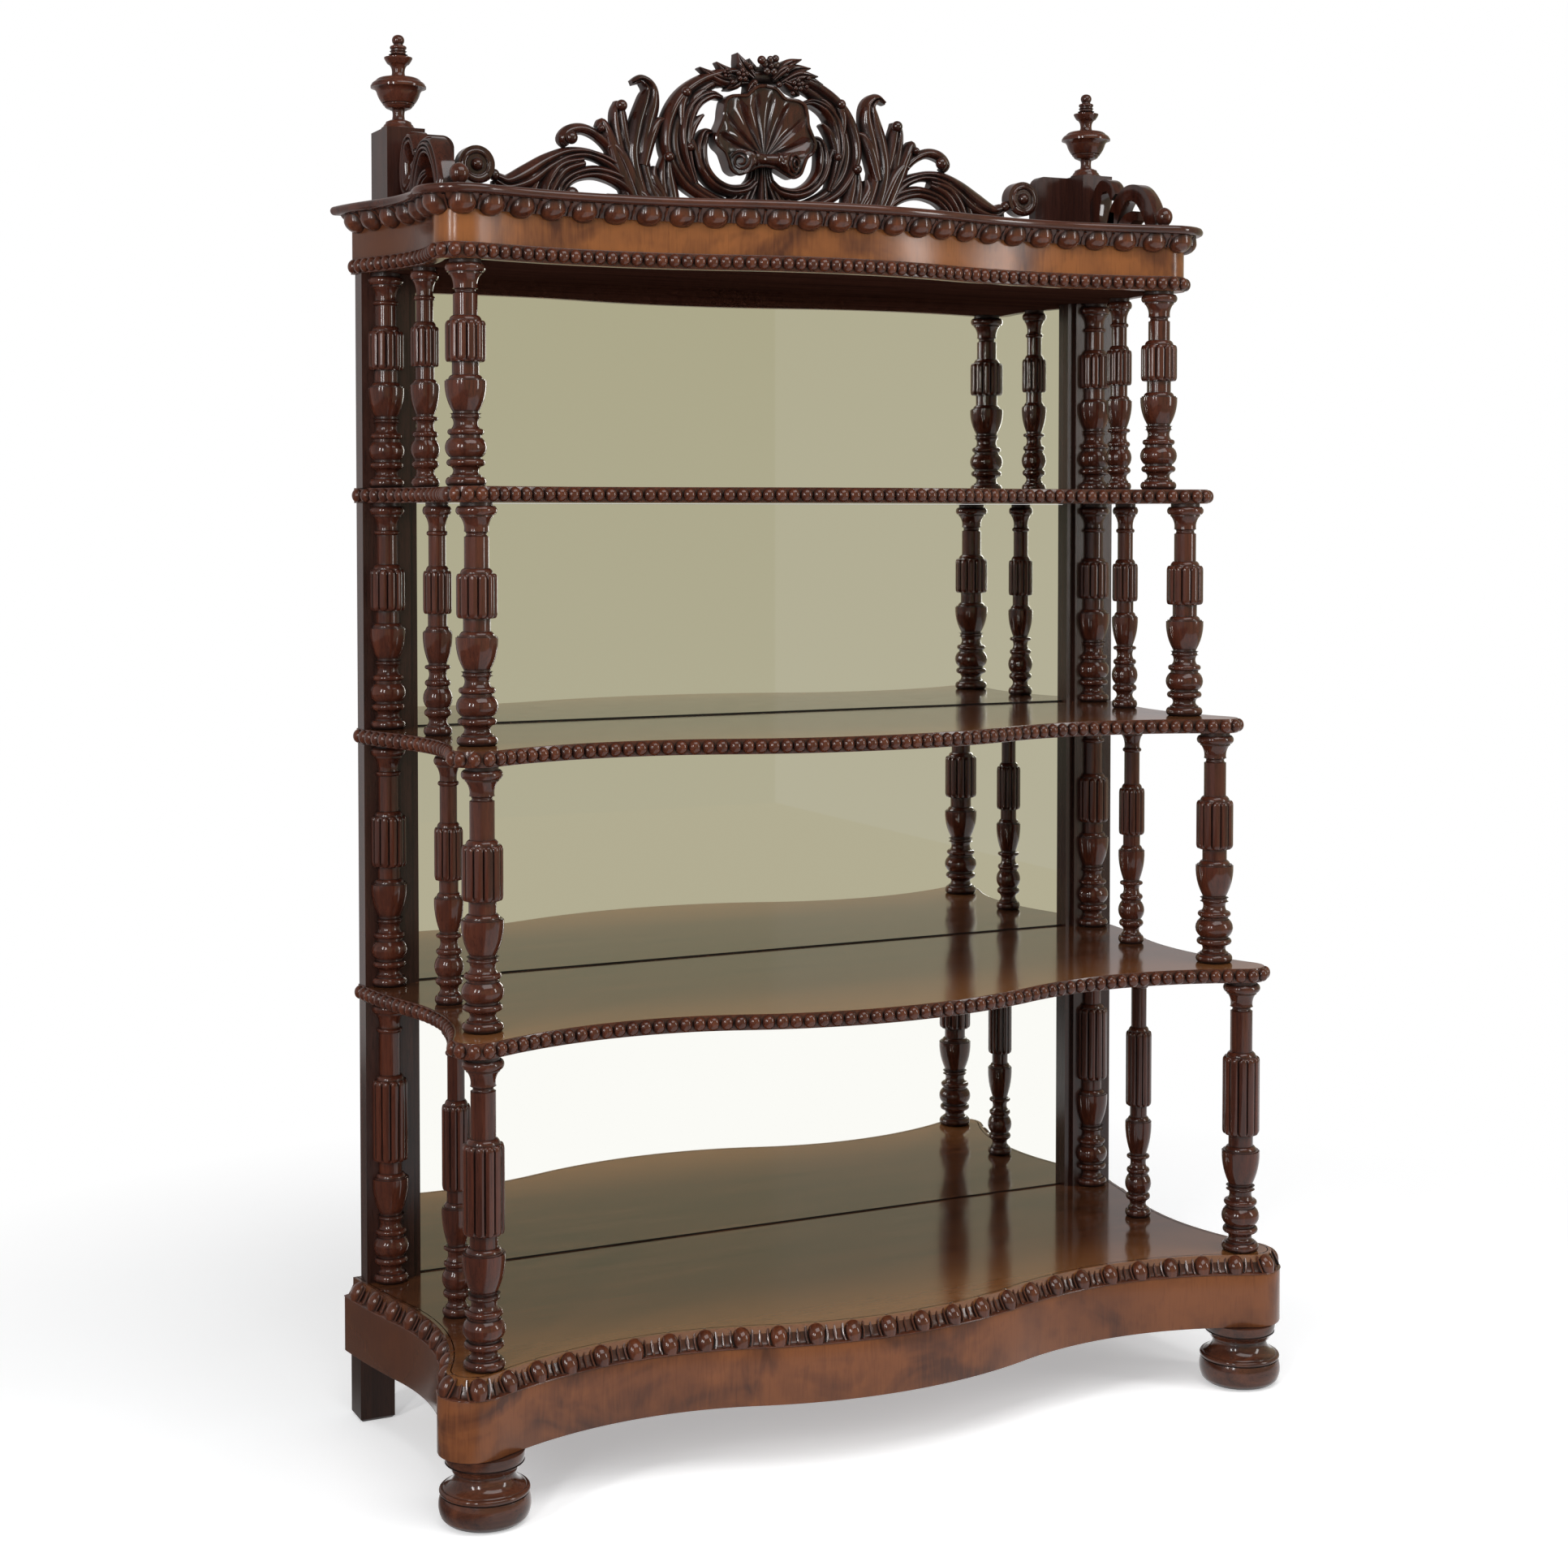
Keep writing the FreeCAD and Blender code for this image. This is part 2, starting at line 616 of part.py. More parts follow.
# ==== carved work ====
def ribbon(points, along, across, origin, thickness):
    """Flat carved strand through (u, v, half-width) points, thickness measured towards the viewer."""
    sides = ([], [])
    for index, (u, v, half) in enumerate(points):
        before = points[max(index - 1, 0)]
        after = points[min(index + 1, len(points) - 1)]
        du = after[0] - before[0]
        dv = after[1] - before[1]
        run = math.hypot(du, dv)
        for side, sign in zip(sides, (1, -1)):
            side.append(origin + along * (u - sign * dv / run * half) + UP * (v + sign * du / run * half))
    edges = []
    for side in sides:
        curve = Part.BSplineCurve()
        curve.interpolate(side)
        edges.append(curve.toShape())
    for end in (0, -1):
        edges.append(Part.makeLine(sides[0][end], sides[1][end]))
    return Part.Face(Part.Wire(Part.__sortEdges__(edges))).extrude(across * thickness)


# strands of the crest, right half, as (outward, up, half-width) from the middle of the deck
CREST_STRANDS = (
    ((30, 236, 12), (78, 226, 15), (122, 200, 21), (144, 160, 21), (147, 122, 19), (140, 84, 18),
     (128, 40, 15), (122, -6, 18)),
    ((84, 142, 7), (103, 138, 12), (110, 112, 15), (104, 84, 14), (84, 60, 12), (56, 52, 11), (28, 54, 10),
     (2, 72, 9)),
    ((158, -6, 24), (160, 40, 22), (164, 78, 16), (163, 106, 7)),
    ((176, -6, 26), (200, 50, 22), (211, 100, 21), (203, 145, 23), (190, 180, 22), (190, 205, 13),
     (214, 217, 5)),
    ((200, 10, 22), (222, 70, 20), (236, 125, 18), (241, 165, 16), (238, 180, 8)),
    ((212, 20, 16), (240, 80, 15), (258, 122, 12), (273, 140, 5)),
    ((220, 30, 14), (246, 92, 9), (268, 120, 8), (296, 134, 8), (320, 130, 10), (326, 112, 11)),
    ((205, 20, 16), (244, 76, 11), (285, 96, 8), (322, 95, 11), (355, 80, 16), (388, 58, 20), (420, 44, 14),
     (446, 50, 10), (466, 52, 9)),
    ((196, 0, 18), (226, 50, 13), (272, 69, 11), (312, 63, 10), (340, 44, 10), (346, 14, 10), (344, -6, 10)),
    ((190, -6, 16), (226, 24, 13), (262, 30, 9)),
    ((362, 70, 14), (380, 34, 26), (392, -6, 36)),
    ((430, -6, 26), (432, 30, 18), (438, 50, 8)),
)
CREST_BOSSES = ((44, 98, 18), (322, 116, 13), (321, 36, 15), (473, 70, 30))
CREST_STEM = ((0, 104, 9), (0, 70, 15), (0, 34, 28), (0, -6, 44))
SHELL_EDGE = ((0, 221), (20, 216), (29, 206), (50, 202), (66, 195), (74, 180), (79, 160), (86, 140),
              (66, 116), (24, 108))
GARLAND_LEAVES = (
    ((0, 216, 16), (-56, 234, 14), (-108, 243, 3)), ((0, 216, 16), (-40, 244, 15), (-70, 252, 4)),
    ((0, 216, 18), (-26, 246, 18), (-37, 268, 8)), ((0, 212, 20), (2, 246, 20), (0, 272, 9)),
    ((0, 216, 18), (34, 248, 16), (68, 266, 3)), ((0, 216, 16), (50, 238, 14), (88, 250, 3)),
    ((0, 214, 16), (60, 228, 13), (102, 240, 3)),
)
crest_back_y = mirror_y + crest_behind
crest_origin = Vector(0, crest_back_y, deck)
FORWARD = Vector(0, -1, 0)


def boss(u, v, radius, thickness):
    """Round knob of carving facing the front."""
    return Part.makeCylinder(radius, thickness, crest_origin + Vector(u, 0, v), FORWARD)


carving = []
for sign in (1, -1):
    side = Vector(sign, 0, 0)
    for strand in CREST_STRANDS:
        carving.append(ribbon(strand, side, FORWARD, crest_origin, crest_thickness))
    for u, v, radius in CREST_BOSSES:
        carving.append(boss(sign * u, v, radius, crest_thickness + crest_relief / 2))
carving.append(ribbon(CREST_STEM, Vector(1, 0, 0), FORWARD, crest_origin, crest_thickness))
for leaf in GARLAND_LEAVES:
    carving.append(ribbon(leaf, Vector(1, 0, 0), FORWARD, crest_origin, crest_thickness + crest_relief / 3))
rim = [crest_origin + Vector(u, 0, v) for u, v in SHELL_EDGE]
rim += [crest_origin + Vector(-u, 0, v) for u, v in reversed(SHELL_EDGE[1:])]
shell_curve = Part.BSplineCurve()
shell_curve.interpolate(rim, PeriodicFlag=True)
shell = Part.Face(Part.Wire(shell_curve.toShape())).extrude(FORWARD * (crest_thickness + crest_relief))
crest = shell.multiFuse(carving)
above = deck + REACH
centre_cut = box(-crest_joint_x, crest_joint_x, -REACH, REACH, deck, above)
right_cut = box(crest_joint_x, REACH, -REACH, REACH, deck, above)
left_cut = box(-REACH, -crest_joint_x, -REACH, REACH, deck, above)
save("crest_shell_centre", crest.common(centre_cut))
save("crest_right_foliage", crest.common(right_cut))
save("crest_left_foliage", crest.common(left_cut))

# pedestals: a block with a wing board that runs in towards the crest
block_x0 = pedestal_outer_x - pedestal_width
wing_x0 = block_x0 - wing_length
wing_y0 = mirror_y - wing_thickness / 2
wing_y1 = mirror_y + wing_thickness / 2
pedestal = box(block_x0, pedestal_outer_x, mirror_y - pedestal_front_out, mirror_y + pedestal_behind,
               deck, deck + pedestal_height)
wing = box(wing_x0, block_x0, wing_y0, wing_y1, deck, deck + pedestal_height)
corner_from = deck + pedestal_height - wing_corner_radius
wing_end = [edge for edge in wing.Edges
            if edge.BoundBox.XMax < wing_x0 + wing_corner_radius and edge.BoundBox.ZMin > corner_from]
wing = wing.makeFillet(wing_corner_radius, wing_end)
pedestal = pedestal.fuse(wing)
finial_x = pedestal_outer_x - pedestal_width / 2
finial_y = mirror_y - finial_out
pedestal_top = deck + pedestal_height
pedestal = pedestal.cut(peg(finial_x, finial_y, pedestal_top - pin_length - pin_clearance, pedestal_top,
                            pin_radius + pin_clearance))
save("right_pedestal", pedestal)
save("left_pedestal", mirrored(pedestal))

# urn finials, members as (share of height, radii as shares of the bowl's)
FINIAL_MEMBERS = (
    (0.055, 0.66, 0.60, 0.52), (0.05, 0.50, 0.40, 0.28), (0.085, 0.26, 0.21, 0.24), (0.05, 0.30, 0.52, 0.60),
    (0.02, 0.56, None, 0.62), (0.11, 0.66, 0.78, 0.81), (0.03, 0.86, None, 1.0), (0.09, 1.0, 0.94, 0.70),
    (0.02, 0.40, None, 0.32), (0.15, 0.30, 0.22, 0.33), (0.02, 0.33, None, 0.48), (0.025, 0.52, 0.52, 0.36),
    (0.045, 0.34, 0.39, 0.34), (0.035, 0.28, 0.30, 0.26), (0.145, 0.15, 0.19, 0.03),
)
share = sum(member[0] for member in FINIAL_MEMBERS)
finial = turning([(height * finial_height / share, a * finial_radius, None if m is None else m * finial_radius,
                   b * finial_radius) for height, a, m, b in FINIAL_MEMBERS], finial_x, finial_y, pedestal_top)
finial = finial.fuse(peg(finial_x, finial_y, pedestal_top - pin_length, pedestal_top, pin_radius))
save("right_finial", finial)
save("left_finial", mirrored(finial))

KNOB_MEMBERS = ((0.10, 0.95, None, 0.95), (0.12, 0.80, 0.58, 0.62), (0.78, 0.62, 1.0, 0.12))
knob = turning([(height * knob_height, a * knob_radius, None if m is None else m * knob_radius,
                 b * knob_radius) for height, a, m, b in KNOB_MEMBERS], knob_x, knob_y, deck)
knob = knob.fuse(peg(knob_x, knob_y, deck - pin_length, deck, knob_pin_radius))
save("right_corner_knob", knob)
save("left_corner_knob", mirrored(knob))

# scrolled brackets from the pedestals forward to the knobs, as (forward of the pedestal, up, half-width)
BRACKET_STRANDS = (
    ((68, 66, 8), (52, 86, 9), (28, 84, 11), (14, 58, 13), (16, 26, 14), (36, 12, 13), (58, 20, 10),
     (64, 42, 7)),
    ((56, -4, 16), (72, 40, 15), (100, 66, 12), (134, 64, 14), (158, 44, 15), (174, 16, 14), (178, -4, 12)),
    ((82, -4, 16), (104, 22, 12), (126, 30, 8)),
)
bracket_x = finial_x + bracket_thickness / 2
bracket_origin = Vector(bracket_x, mirror_y - pedestal_front_out, deck)
strands = [ribbon(strand, FORWARD, Vector(-1, 0, 0), bracket_origin, bracket_thickness)
           for strand in BRACKET_STRANDS]
bracket = strands[0].multiFuse(strands[1:])
bracket = bracket.common(box(0, REACH, -REACH, mirror_y - pedestal_front_out, deck, above))
save("right_scroll_bracket", bracket)
save("left_scroll_bracket", mirrored(bracket))
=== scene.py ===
import math

import bmesh
import bpy
from mathutils import Matrix, Vector


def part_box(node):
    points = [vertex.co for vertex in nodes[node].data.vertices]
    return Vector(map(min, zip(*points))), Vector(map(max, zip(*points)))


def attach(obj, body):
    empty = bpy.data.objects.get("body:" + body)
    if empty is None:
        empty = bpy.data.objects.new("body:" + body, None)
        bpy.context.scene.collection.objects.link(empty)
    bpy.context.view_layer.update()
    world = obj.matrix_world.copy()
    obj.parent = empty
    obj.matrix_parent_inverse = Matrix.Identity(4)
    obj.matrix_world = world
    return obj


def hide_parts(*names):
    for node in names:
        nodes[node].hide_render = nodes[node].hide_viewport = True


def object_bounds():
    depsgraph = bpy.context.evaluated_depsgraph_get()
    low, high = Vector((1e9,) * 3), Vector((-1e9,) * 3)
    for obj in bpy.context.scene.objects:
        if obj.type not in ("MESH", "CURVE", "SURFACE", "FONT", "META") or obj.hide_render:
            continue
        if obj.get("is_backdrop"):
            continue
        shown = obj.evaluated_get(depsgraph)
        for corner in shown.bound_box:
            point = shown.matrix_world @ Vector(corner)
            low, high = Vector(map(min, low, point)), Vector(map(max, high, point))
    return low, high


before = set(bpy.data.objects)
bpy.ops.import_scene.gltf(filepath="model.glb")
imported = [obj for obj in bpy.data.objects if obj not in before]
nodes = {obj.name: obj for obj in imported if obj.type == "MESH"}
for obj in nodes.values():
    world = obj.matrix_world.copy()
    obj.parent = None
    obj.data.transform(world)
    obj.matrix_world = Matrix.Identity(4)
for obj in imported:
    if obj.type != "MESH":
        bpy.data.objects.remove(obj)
cad_low, cad_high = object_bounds()

# ---- Plinth frieze ----
# A shaped softwood apron, bowed and hollowed along the front and hollow at the sides, faced with
# flame mahogany veneer whose figure runs upright. It is glued under the base board.
mm = 0.001
mirror_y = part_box("mirror_plate_1")[0].y


class Wire:
    """An output of a shader node. Python's operators on it add Math nodes."""

    def __init__(self, finish, socket):
        self.finish = finish
        self.socket = socket

    def math(self, operation, *values):
        return self.finish.node("ShaderNodeMath", {"operation": operation}, *values)

    def __add__(self, other):
        return self.math("ADD", self, other)

    def __sub__(self, other):
        return self.math("SUBTRACT", self, other)

    def __rsub__(self, other):
        return self.math("SUBTRACT", other, self)

    def __mul__(self, other):
        return self.math("MULTIPLY", self, other)

    def __lt__(self, other):
        return self.math("LESS_THAN", self, other)

    __radd__ = __add__
    __rmul__ = __mul__


class Finish:
    """A surface finish: one material, and the nodes that make it."""

    def __init__(self, name, tree=None):
        if tree is None:
            self.material = bpy.data.materials.new(name)
            self.material.use_nodes = True
            tree = self.material.node_tree
        self.tree = tree
        self.tree.nodes.clear()

    def feed(self, socket, value):
        if isinstance(value, Wire):
            self.tree.links.new(value.socket, socket)
        elif isinstance(value, tuple) and socket.type == "RGBA":
            socket.default_value = (*value, 1)
        else:
            socket.default_value = value

    def node(self, kind, settings=None, *values, out=0, **named):
        made = self.tree.nodes.new(kind)
        for key, value in (settings or {}).items():
            if key != "stops":
                setattr(made, key, value)
                continue
            ramp = made.color_ramp
            while len(ramp.elements) < len(value):
                ramp.elements.new(0.5)
            for element, (place, colour) in zip(ramp.elements, value):
                element.position = place
                element.color = (*colour, 1)
        for key, value in [*enumerate(values), *named.items()]:
            self.feed(made.inputs[key if isinstance(key, int) else key.replace("_", " ")], value)
        return Wire(self, made.outputs[out]) if made.outputs else None

    def place(self):
        """Where on the piece a point lies."""
        return self.node("ShaderNodeTexCoord", out=3)

    def coordinate(self, axis):
        return self.node("ShaderNodeSeparateXYZ", None, self.place(), out="XYZ".index(axis))

    def blend(self, share, low, high):
        made = self.node("ShaderNodeMix", {"data_type": "RGBA"}, out=2)
        sockets = made.socket.node.inputs
        for socket, value in zip((sockets[0], sockets[6], sockets[7]), (share, low, high)):
            self.feed(socket, value)
        return made

    def noise(self, place, stretch, scale, detail, warp=0.0):
        place = self.node("ShaderNodeMapping", None, Vector=place, Scale=stretch)
        return self.node("ShaderNodeTexNoise", None, Vector=place, Scale=scale, Detail=detail,
                         Distortion=warp)

    def ramp(self, value, *stops):
        return self.node("ShaderNodeValToRGB", {"stops": stops}, value)

    def between(self, value, low, high):
        return self.node("ShaderNodeMapRange", None, value, low, high, 0.0, 1.0)

    def surface(self, **sockets):
        shader = self.node("ShaderNodeBsdfPrincipled", None, **sockets)
        self.node("ShaderNodeOutputMaterial", None, shader)
        return self.material


def meeting(first, from_first, second, from_second):
    """Point at given distances from two others, to the left of the way from the first to the second."""
    way = second - first
    along = (from_first ** 2 - from_second ** 2 + way.length_squared) / (2 * way.length)
    aside = math.sqrt(from_first ** 2 - along ** 2)
    return first + (way * along + Vector((-way.y, way.x)) * aside) / way.length


def heading(start, end):
    return math.atan2(end.y - start.y, end.x - start.x)


class Level:
    """Outline of one level from above: straight back, ogee sides, round corners, bowed front."""

    bow_radius = 650

    def __init__(self, corner, corner_r, bow_out, hollow, waist_x, inward, outward, side_x, behind):
        """Millimetres: corner centre, bow, valley, waist and back ends, depths forward of the mirror."""
        corner, side = Vector((corner[0], -corner[1])), Vector((side_x, 0))
        bow = Vector((0, self.bow_radius - bow_out))
        valley = meeting(corner, corner_r + hollow, bow, self.bow_radius + hollow)
        waist_cx = waist_x + inward
        waist_cy = corner.y + math.sqrt((inward + corner_r) ** 2 - (waist_cx - corner.x) ** 2)
        waist = Vector((waist_cx, waist_cy))
        end = meeting(waist, inward + outward, side, outward)
        # centre, radius, first and last angle, +1 where the edge bulges and -1 where it hollows
        arcs = [
            (bow, self.bow_radius, -math.pi / 2, heading(valley, bow) - math.pi, 1),
            (valley, hollow, heading(valley, bow), heading(corner, valley) + math.pi, -1),
            (corner, corner_r, heading(corner, valley), heading(corner, waist), 1),
            (waist, inward, heading(corner, waist) + math.pi, heading(waist, end), -1),
            (end, outward, heading(waist, end) - math.pi, None, 1),
        ]
        self.arcs = [(Vector((centre.x * mm, mirror_y + centre.y * mm)), radius * mm, first, last, bulge)
                     for centre, radius, first, last, bulge in arcs]
        self.back_y = mirror_y + behind * mm

    def half(self, grow, spacing, middles):
        """Places (point, outward, distance run) on the right half, evenly spaced along each arc."""
        places = []
        run = 0.0
        for centre, radius, first, last, bulge in self.arcs:
            radius += bulge * grow
            at_back = last is None
            if at_back:
                last = math.asin((self.back_y - centre.y) / radius)
            length = abs(last - first) * radius
            count = max(1, round(length / spacing))
            for step in range(count):
                angle = first + (last - first) * (step + 0.5 * middles) / count
                out = Vector((math.cos(angle), math.sin(angle)))
                places.append((centre + out * radius, out * bulge, run + length * step / count))
            run += length
            if at_back and not middles:
                out = Vector((math.cos(last), math.sin(last)))
                places.append((centre + out * radius, Vector((1 / out.x, 0)), run))
        return places

    def course(self, grow, spacing, middles=False):
        """The same from the left end round the front to the right end."""
        right = self.half(grow, spacing, middles)
        left = [(Vector((-p.x, p.y)), Vector((-n.x, n.y)), -s) for p, n, s in reversed(right)]
        return left[:len(left) if middles else -1] + right


class Work:
    """A piece being shaped: corners, faces, and for each corner its distance along a moulding."""

    edge_step = 11 * mm
    crease = math.radians(38)

    def __init__(self):
        self.points = []
        self.faces = []
        self.runs = []

    def skin(self, rows, ends=True, runs=None):
        """Surface through closed rows of points, capped at both ends."""
        start = len(self.points)
        width = len(rows[0])
        for index, row in enumerate(rows):
            self.points.extend(row)
            self.runs.extend([runs[index] if runs else 0.0] * width)
        for index in range(len(rows) - 1):
            low = start + index * width
            for k in range(width):
                j = (k + 1) % width
                self.faces.append((low + k, low + width + k, low + width + j, low + j))
        if ends:
            self.faces.append(tuple(range(start, start + width)))
            self.faces.append(tuple(range(start + (len(rows) - 1) * width, start + len(rows) * width)))

    def repeat(self, unit, turn):
        start = len(self.points)
        self.points.extend(turn @ Vector(p) for p in unit.points)
        self.runs.extend(unit.runs)
        self.faces.extend(tuple(start + i for i in face) for face in unit.faces)

    def along(self, level, section):
        """Runs a closed section of (outward, height) points round the front and sides of a level."""
        rows = []
        runs = []
        for point, out, distance in level.course(0.0, self.edge_step):
            rows.append([Vector((*(point + out * grow), z)) for grow, z in section])
            runs.append(distance)
        self.skin(rows, runs=runs)

    def piece(self, name, finish, *replaced, slot="mahogany", shift=None):
        """Makes the piece, smooth but for edges sharper than the crease, in place of CAD nodes."""
        mesh = bpy.data.meshes.new(name)
        mesh.from_pydata(self.points, [], self.faces)
        run = mesh.attributes.new("run", "FLOAT", "POINT")
        run.data.foreach_set("value", self.runs)
        bm = bmesh.new()
        bm.from_mesh(mesh)
        bmesh.ops.recalc_face_normals(bm, faces=bm.faces)
        bm.to_mesh(mesh)
        bm.free()
        mesh.shade_smooth()
        mesh.set_sharp_from_angle(angle=self.crease)
        mesh.materials.append(finish)
        return placed(name, mesh, *replaced, slot=slot, shift=shift)


def placed(name, mesh, *replaced, slot="mahogany", shift=None):
    piece = bpy.data.objects.new(name, mesh)
    bpy.context.scene.collection.objects.link(piece)
    if shift:
        piece.location = shift
    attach(piece, "root")
    if replaced:
        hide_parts(*replaced)
    return piece


def eased(points, radius):
    """Section with its sharp corners softened to small rounds."""
    soft = []
    for index, point in enumerate(points):
        here = Vector(point)
        before = Vector(points[index - 1]) - here
        after = Vector(points[(index + 1) % len(points)]) - here
        if before.angle(-after, 0.0) < math.radians(25):
            soft.append(here)
            continue
        ease = min(radius, before.length / 2.2, after.length / 2.2)
        start = here + before.normalized() * ease
        end = here + after.normalized() * ease
        soft += [start, start.lerp(end, 0.5).lerp(here, 0.42), end]
    return soft


def veneer(name, light, dark, phase, cloud, shade_from_y):
    """French-polished flame veneer: upright streaks, clouds, fine pores, and the sides darkened by painted
    shade from a given depth back.
    """
    finish = Finish(name)
    run = finish.node("ShaderNodeAttribute", {"attribute_name": "run"}, out=2)
    place = finish.node("ShaderNodeCombineXYZ", None, run + phase, 0.0, finish.coordinate("Z"))
    streak = finish.noise(place, (60, 1, 9), 1.0, 4.0, 2.2)
    patch = finish.noise(place, (5.5, 1, 9), 1.0, 3.0, 1.2)
    ray = finish.noise(place, (420, 1, 22), 1.0, 3.0, 0.6)
    mottle = finish.noise(place, (1, 1, 1), 16.0, 3.0)
    # painted shade: from this depth back the figure is blended towards its dark tone, for the shade on the
    # sides
    side = finish.between(finish.coordinate("Y"), shade_from_y, shade_from_y + 0.03)
    flame = patch * 0.82 + streak * 0.22
    figure = finish.ramp(flame, (0.36, dark), (0.54, light), (0.64, light), (0.84, dark))
    figure = finish.blend(finish.between(ray, 0.46, 0.32) * 0.2, figure, tuple(c * 0.5 for c in dark))
    figure = finish.blend(finish.between(mottle, 0.46, 0.74) * cloud, figure, dark)
    figure = finish.blend(side * 0.85, figure, dark)
    bump = finish.node("ShaderNodeBump", None, Strength=0.05, Distance=0.4 * mm, Height=ray + mottle * 3.0)
    return finish.surface(Base_Color=figure, Roughness=0.14 + mottle * 0.16, Specular_IOR_Level=0.34,
                          Normal=bump)


def veneered_frieze(node, level, wall, ease, finish):
    """Upright board that follows a level's edge, as thick as its wall, in place of its CAD node."""
    foot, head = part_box(node)[0].z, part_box(node)[1].z
    work = Work()
    work.along(level, eased([(0, foot), (0, head), (-wall, head), (-wall, foot)], ease))
    work.piece(node + "_veneered", finish, node, slot="flame_veneer")


base = Level((629, 443), 49, 498, 500, 630, 400, 1500, 670, 20)
plinth_veneer = veneer("plinth_flame_veneer", (0.190, 0.064, 0.023), (0.070, 0.025, 0.014), 3.1, 0.6,
                       mirror_y - 443 * mm)
veneered_frieze("plinth_frieze", base, 18 * mm, 1.6 * mm, plinth_veneer)


# ---- Boards, back posts, slips and softwood ----
# Polished mahogany boards, square posts between them at the back, and narrow slips that hold the
# glass. Blocks, rails and backboards are plain pine. All keep the joiner's own shapes.
# near black laid into hollows by wood(): partly old wax, partly painted shade
wax_and_shade_black = (0.006, 0.003, 0.0025)


def wood(name, along, light, dark, rough=0.16, gloss=0.42, hollow=0.0, front_tone=None):
    """Polished wood, its grain along one axis: old wax and painted shade darken hollows of that many mm; a
    front tone, if given, takes over towards the front edge.
    """
    finish = Finish(name)
    place = finish.place()

    def grain(lengthways, across, *settings):
        stretch = tuple(lengthways if axis == along else across for axis in "XYZ")
        return finish.noise(place, stretch, *settings)

    figure = grain(1, 14, 2.6, 4.0, 0.8)
    streak = grain(5, 110, 1.6, 4.0, 0.5)
    pore = grain(24, 540, 1.6, 2.0)
    wear = finish.noise(place, (1, 1, 1), 30.0, 3.0)
    tone = finish.ramp(figure * 0.65 + streak * 0.4, (0.36, dark), (0.70, light))
    # towards the front edge the tone goes over to the given front tone
    if front_tone:
        behind = finish.coordinate("Y") + figure * 0.12
        tone = finish.blend(finish.between(behind, 0.02, -0.15), tone, front_tone)
    tone = finish.blend(finish.between(pore, 0.44, 0.32) * 0.5, tone, tuple(c * 0.35 for c in dark))
    dullness = rough + wear * 0.10
    if hollow:
        # painted shade and old wax: where ambient occlusion finds a hollow the tone goes near black and the
        # surface duller
        open_sky = finish.node("ShaderNodeAmbientOcclusion", {"samples": 6}, Distance=hollow * mm, out=1)
        hollow_wax_and_shade = finish.between(open_sky, 0.93, 0.42)
        tone = finish.blend(hollow_wax_and_shade * 0.92, tone, wax_and_shade_black)
        dullness = dullness + hollow_wax_and_shade * 0.4
    bump = finish.node("ShaderNodeBump", None, Strength=0.04, Distance=0.4 * mm, Height=streak + wear * 2.0)
    return finish.surface(Base_Color=tone, Roughness=dullness, Specular_IOR_Level=gloss, Normal=bump)


def dressed(finish, *names):
    """Gives CAD nodes whose shapes are right their finish."""
    for name in names:
        nodes[name].data.materials.clear()
        nodes[name].data.materials.append(finish)


board_finish = wood("board_mahogany", "X", (0.125, 0.044, 0.018), (0.045, 0.016, 0.008), rough=0.07,
                    gloss=0.5, front_tone=(0.20, 0.078, 0.026))
# painted shade: the soffit's dark tone stands for the shade inside the recessed underside; its rough,
# glossless surface is its own
soffit_finish = wood("soffit_mahogany", "X", (0.060, 0.023, 0.015), (0.030, 0.012, 0.009), rough=0.7,
                     gloss=0.0)
leg_finish = wood("leg_mahogany", "Z", (0.034, 0.014, 0.009), (0.016, 0.007, 0.005), rough=0.3, gloss=0.15)
post_finish = wood("post_mahogany", "Z", (0.048, 0.017, 0.012), (0.020, 0.008, 0.006))
pine_finish = wood("back_pine", "Z", (0.30, 0.17, 0.085), (0.17, 0.09, 0.045), rough=0.55, gloss=0.3)
rail_finish = wood("rail_pine", "X", (0.30, 0.17, 0.085), (0.17, 0.09, 0.045), rough=0.55, gloss=0.3)
dressed(board_finish, "base_board", "shelf_board_1", "shelf_board_2", "shelf_board_3")
dressed(soffit_finish, "canopy_soffit")
dressed(leg_finish, "left_rear_leg", "right_rear_leg")
dressed(post_finish, "left_stiles", "right_stiles", "mirror_slips")
dressed(pine_finish, "mirror_backboards", "plinth_corner_blocks")
dressed(rail_finish, "plinth_back_rail", "canopy_back_rail")

# ---- Mirror plates ----
# Old silvered plate glass, one pane to a tier, faintly straw-coloured. Along its foot a thin black,
# non-metallic line is painted shade, for the shaded gap where the glass meets the shelf.
gap_shade_height, gap_shade_black = 2.2 * mm, (0.01, 0.01, 0.01)
for tier in range(1, 5):
    finish = Finish("silvered_glass_%d" % tier)
    pane = "mirror_plate_%d" % tier
    # painted shade: a black band along the foot of the pane, for the gap at the shelf
    gap_shade_band = finish.coordinate("Z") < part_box(pane)[0].z + gap_shade_height
    haze = finish.noise(finish.place(), (1, 1, 1), 3.0, 2.0)
    tint = finish.blend(haze * 0.3, (0.97, 0.97, 0.93), (0.94, 0.93, 0.87))
    glass = finish.surface(Base_Color=finish.blend(gap_shade_band, tint, gap_shade_black), Metallic=1 - gap_shade_band,
                           Roughness=0.010 + haze * 0.012)
    dressed(glass, pane)

# ---- Egg moulding of the plinth ----
# A carved ovolo glued round the base board: polished eggs, each in a raised shell, with narrow
# tongues between them in a hollow ground.
carved = wood("carved_mahogany", "Z", (0.130, 0.037, 0.016), (0.050, 0.015, 0.009), rough=0.05, gloss=0.45,
              hollow=17.0)


def circle(count):
    """Even angles round a full turn."""
    return [2 * math.pi * step / count for step in range(count)]


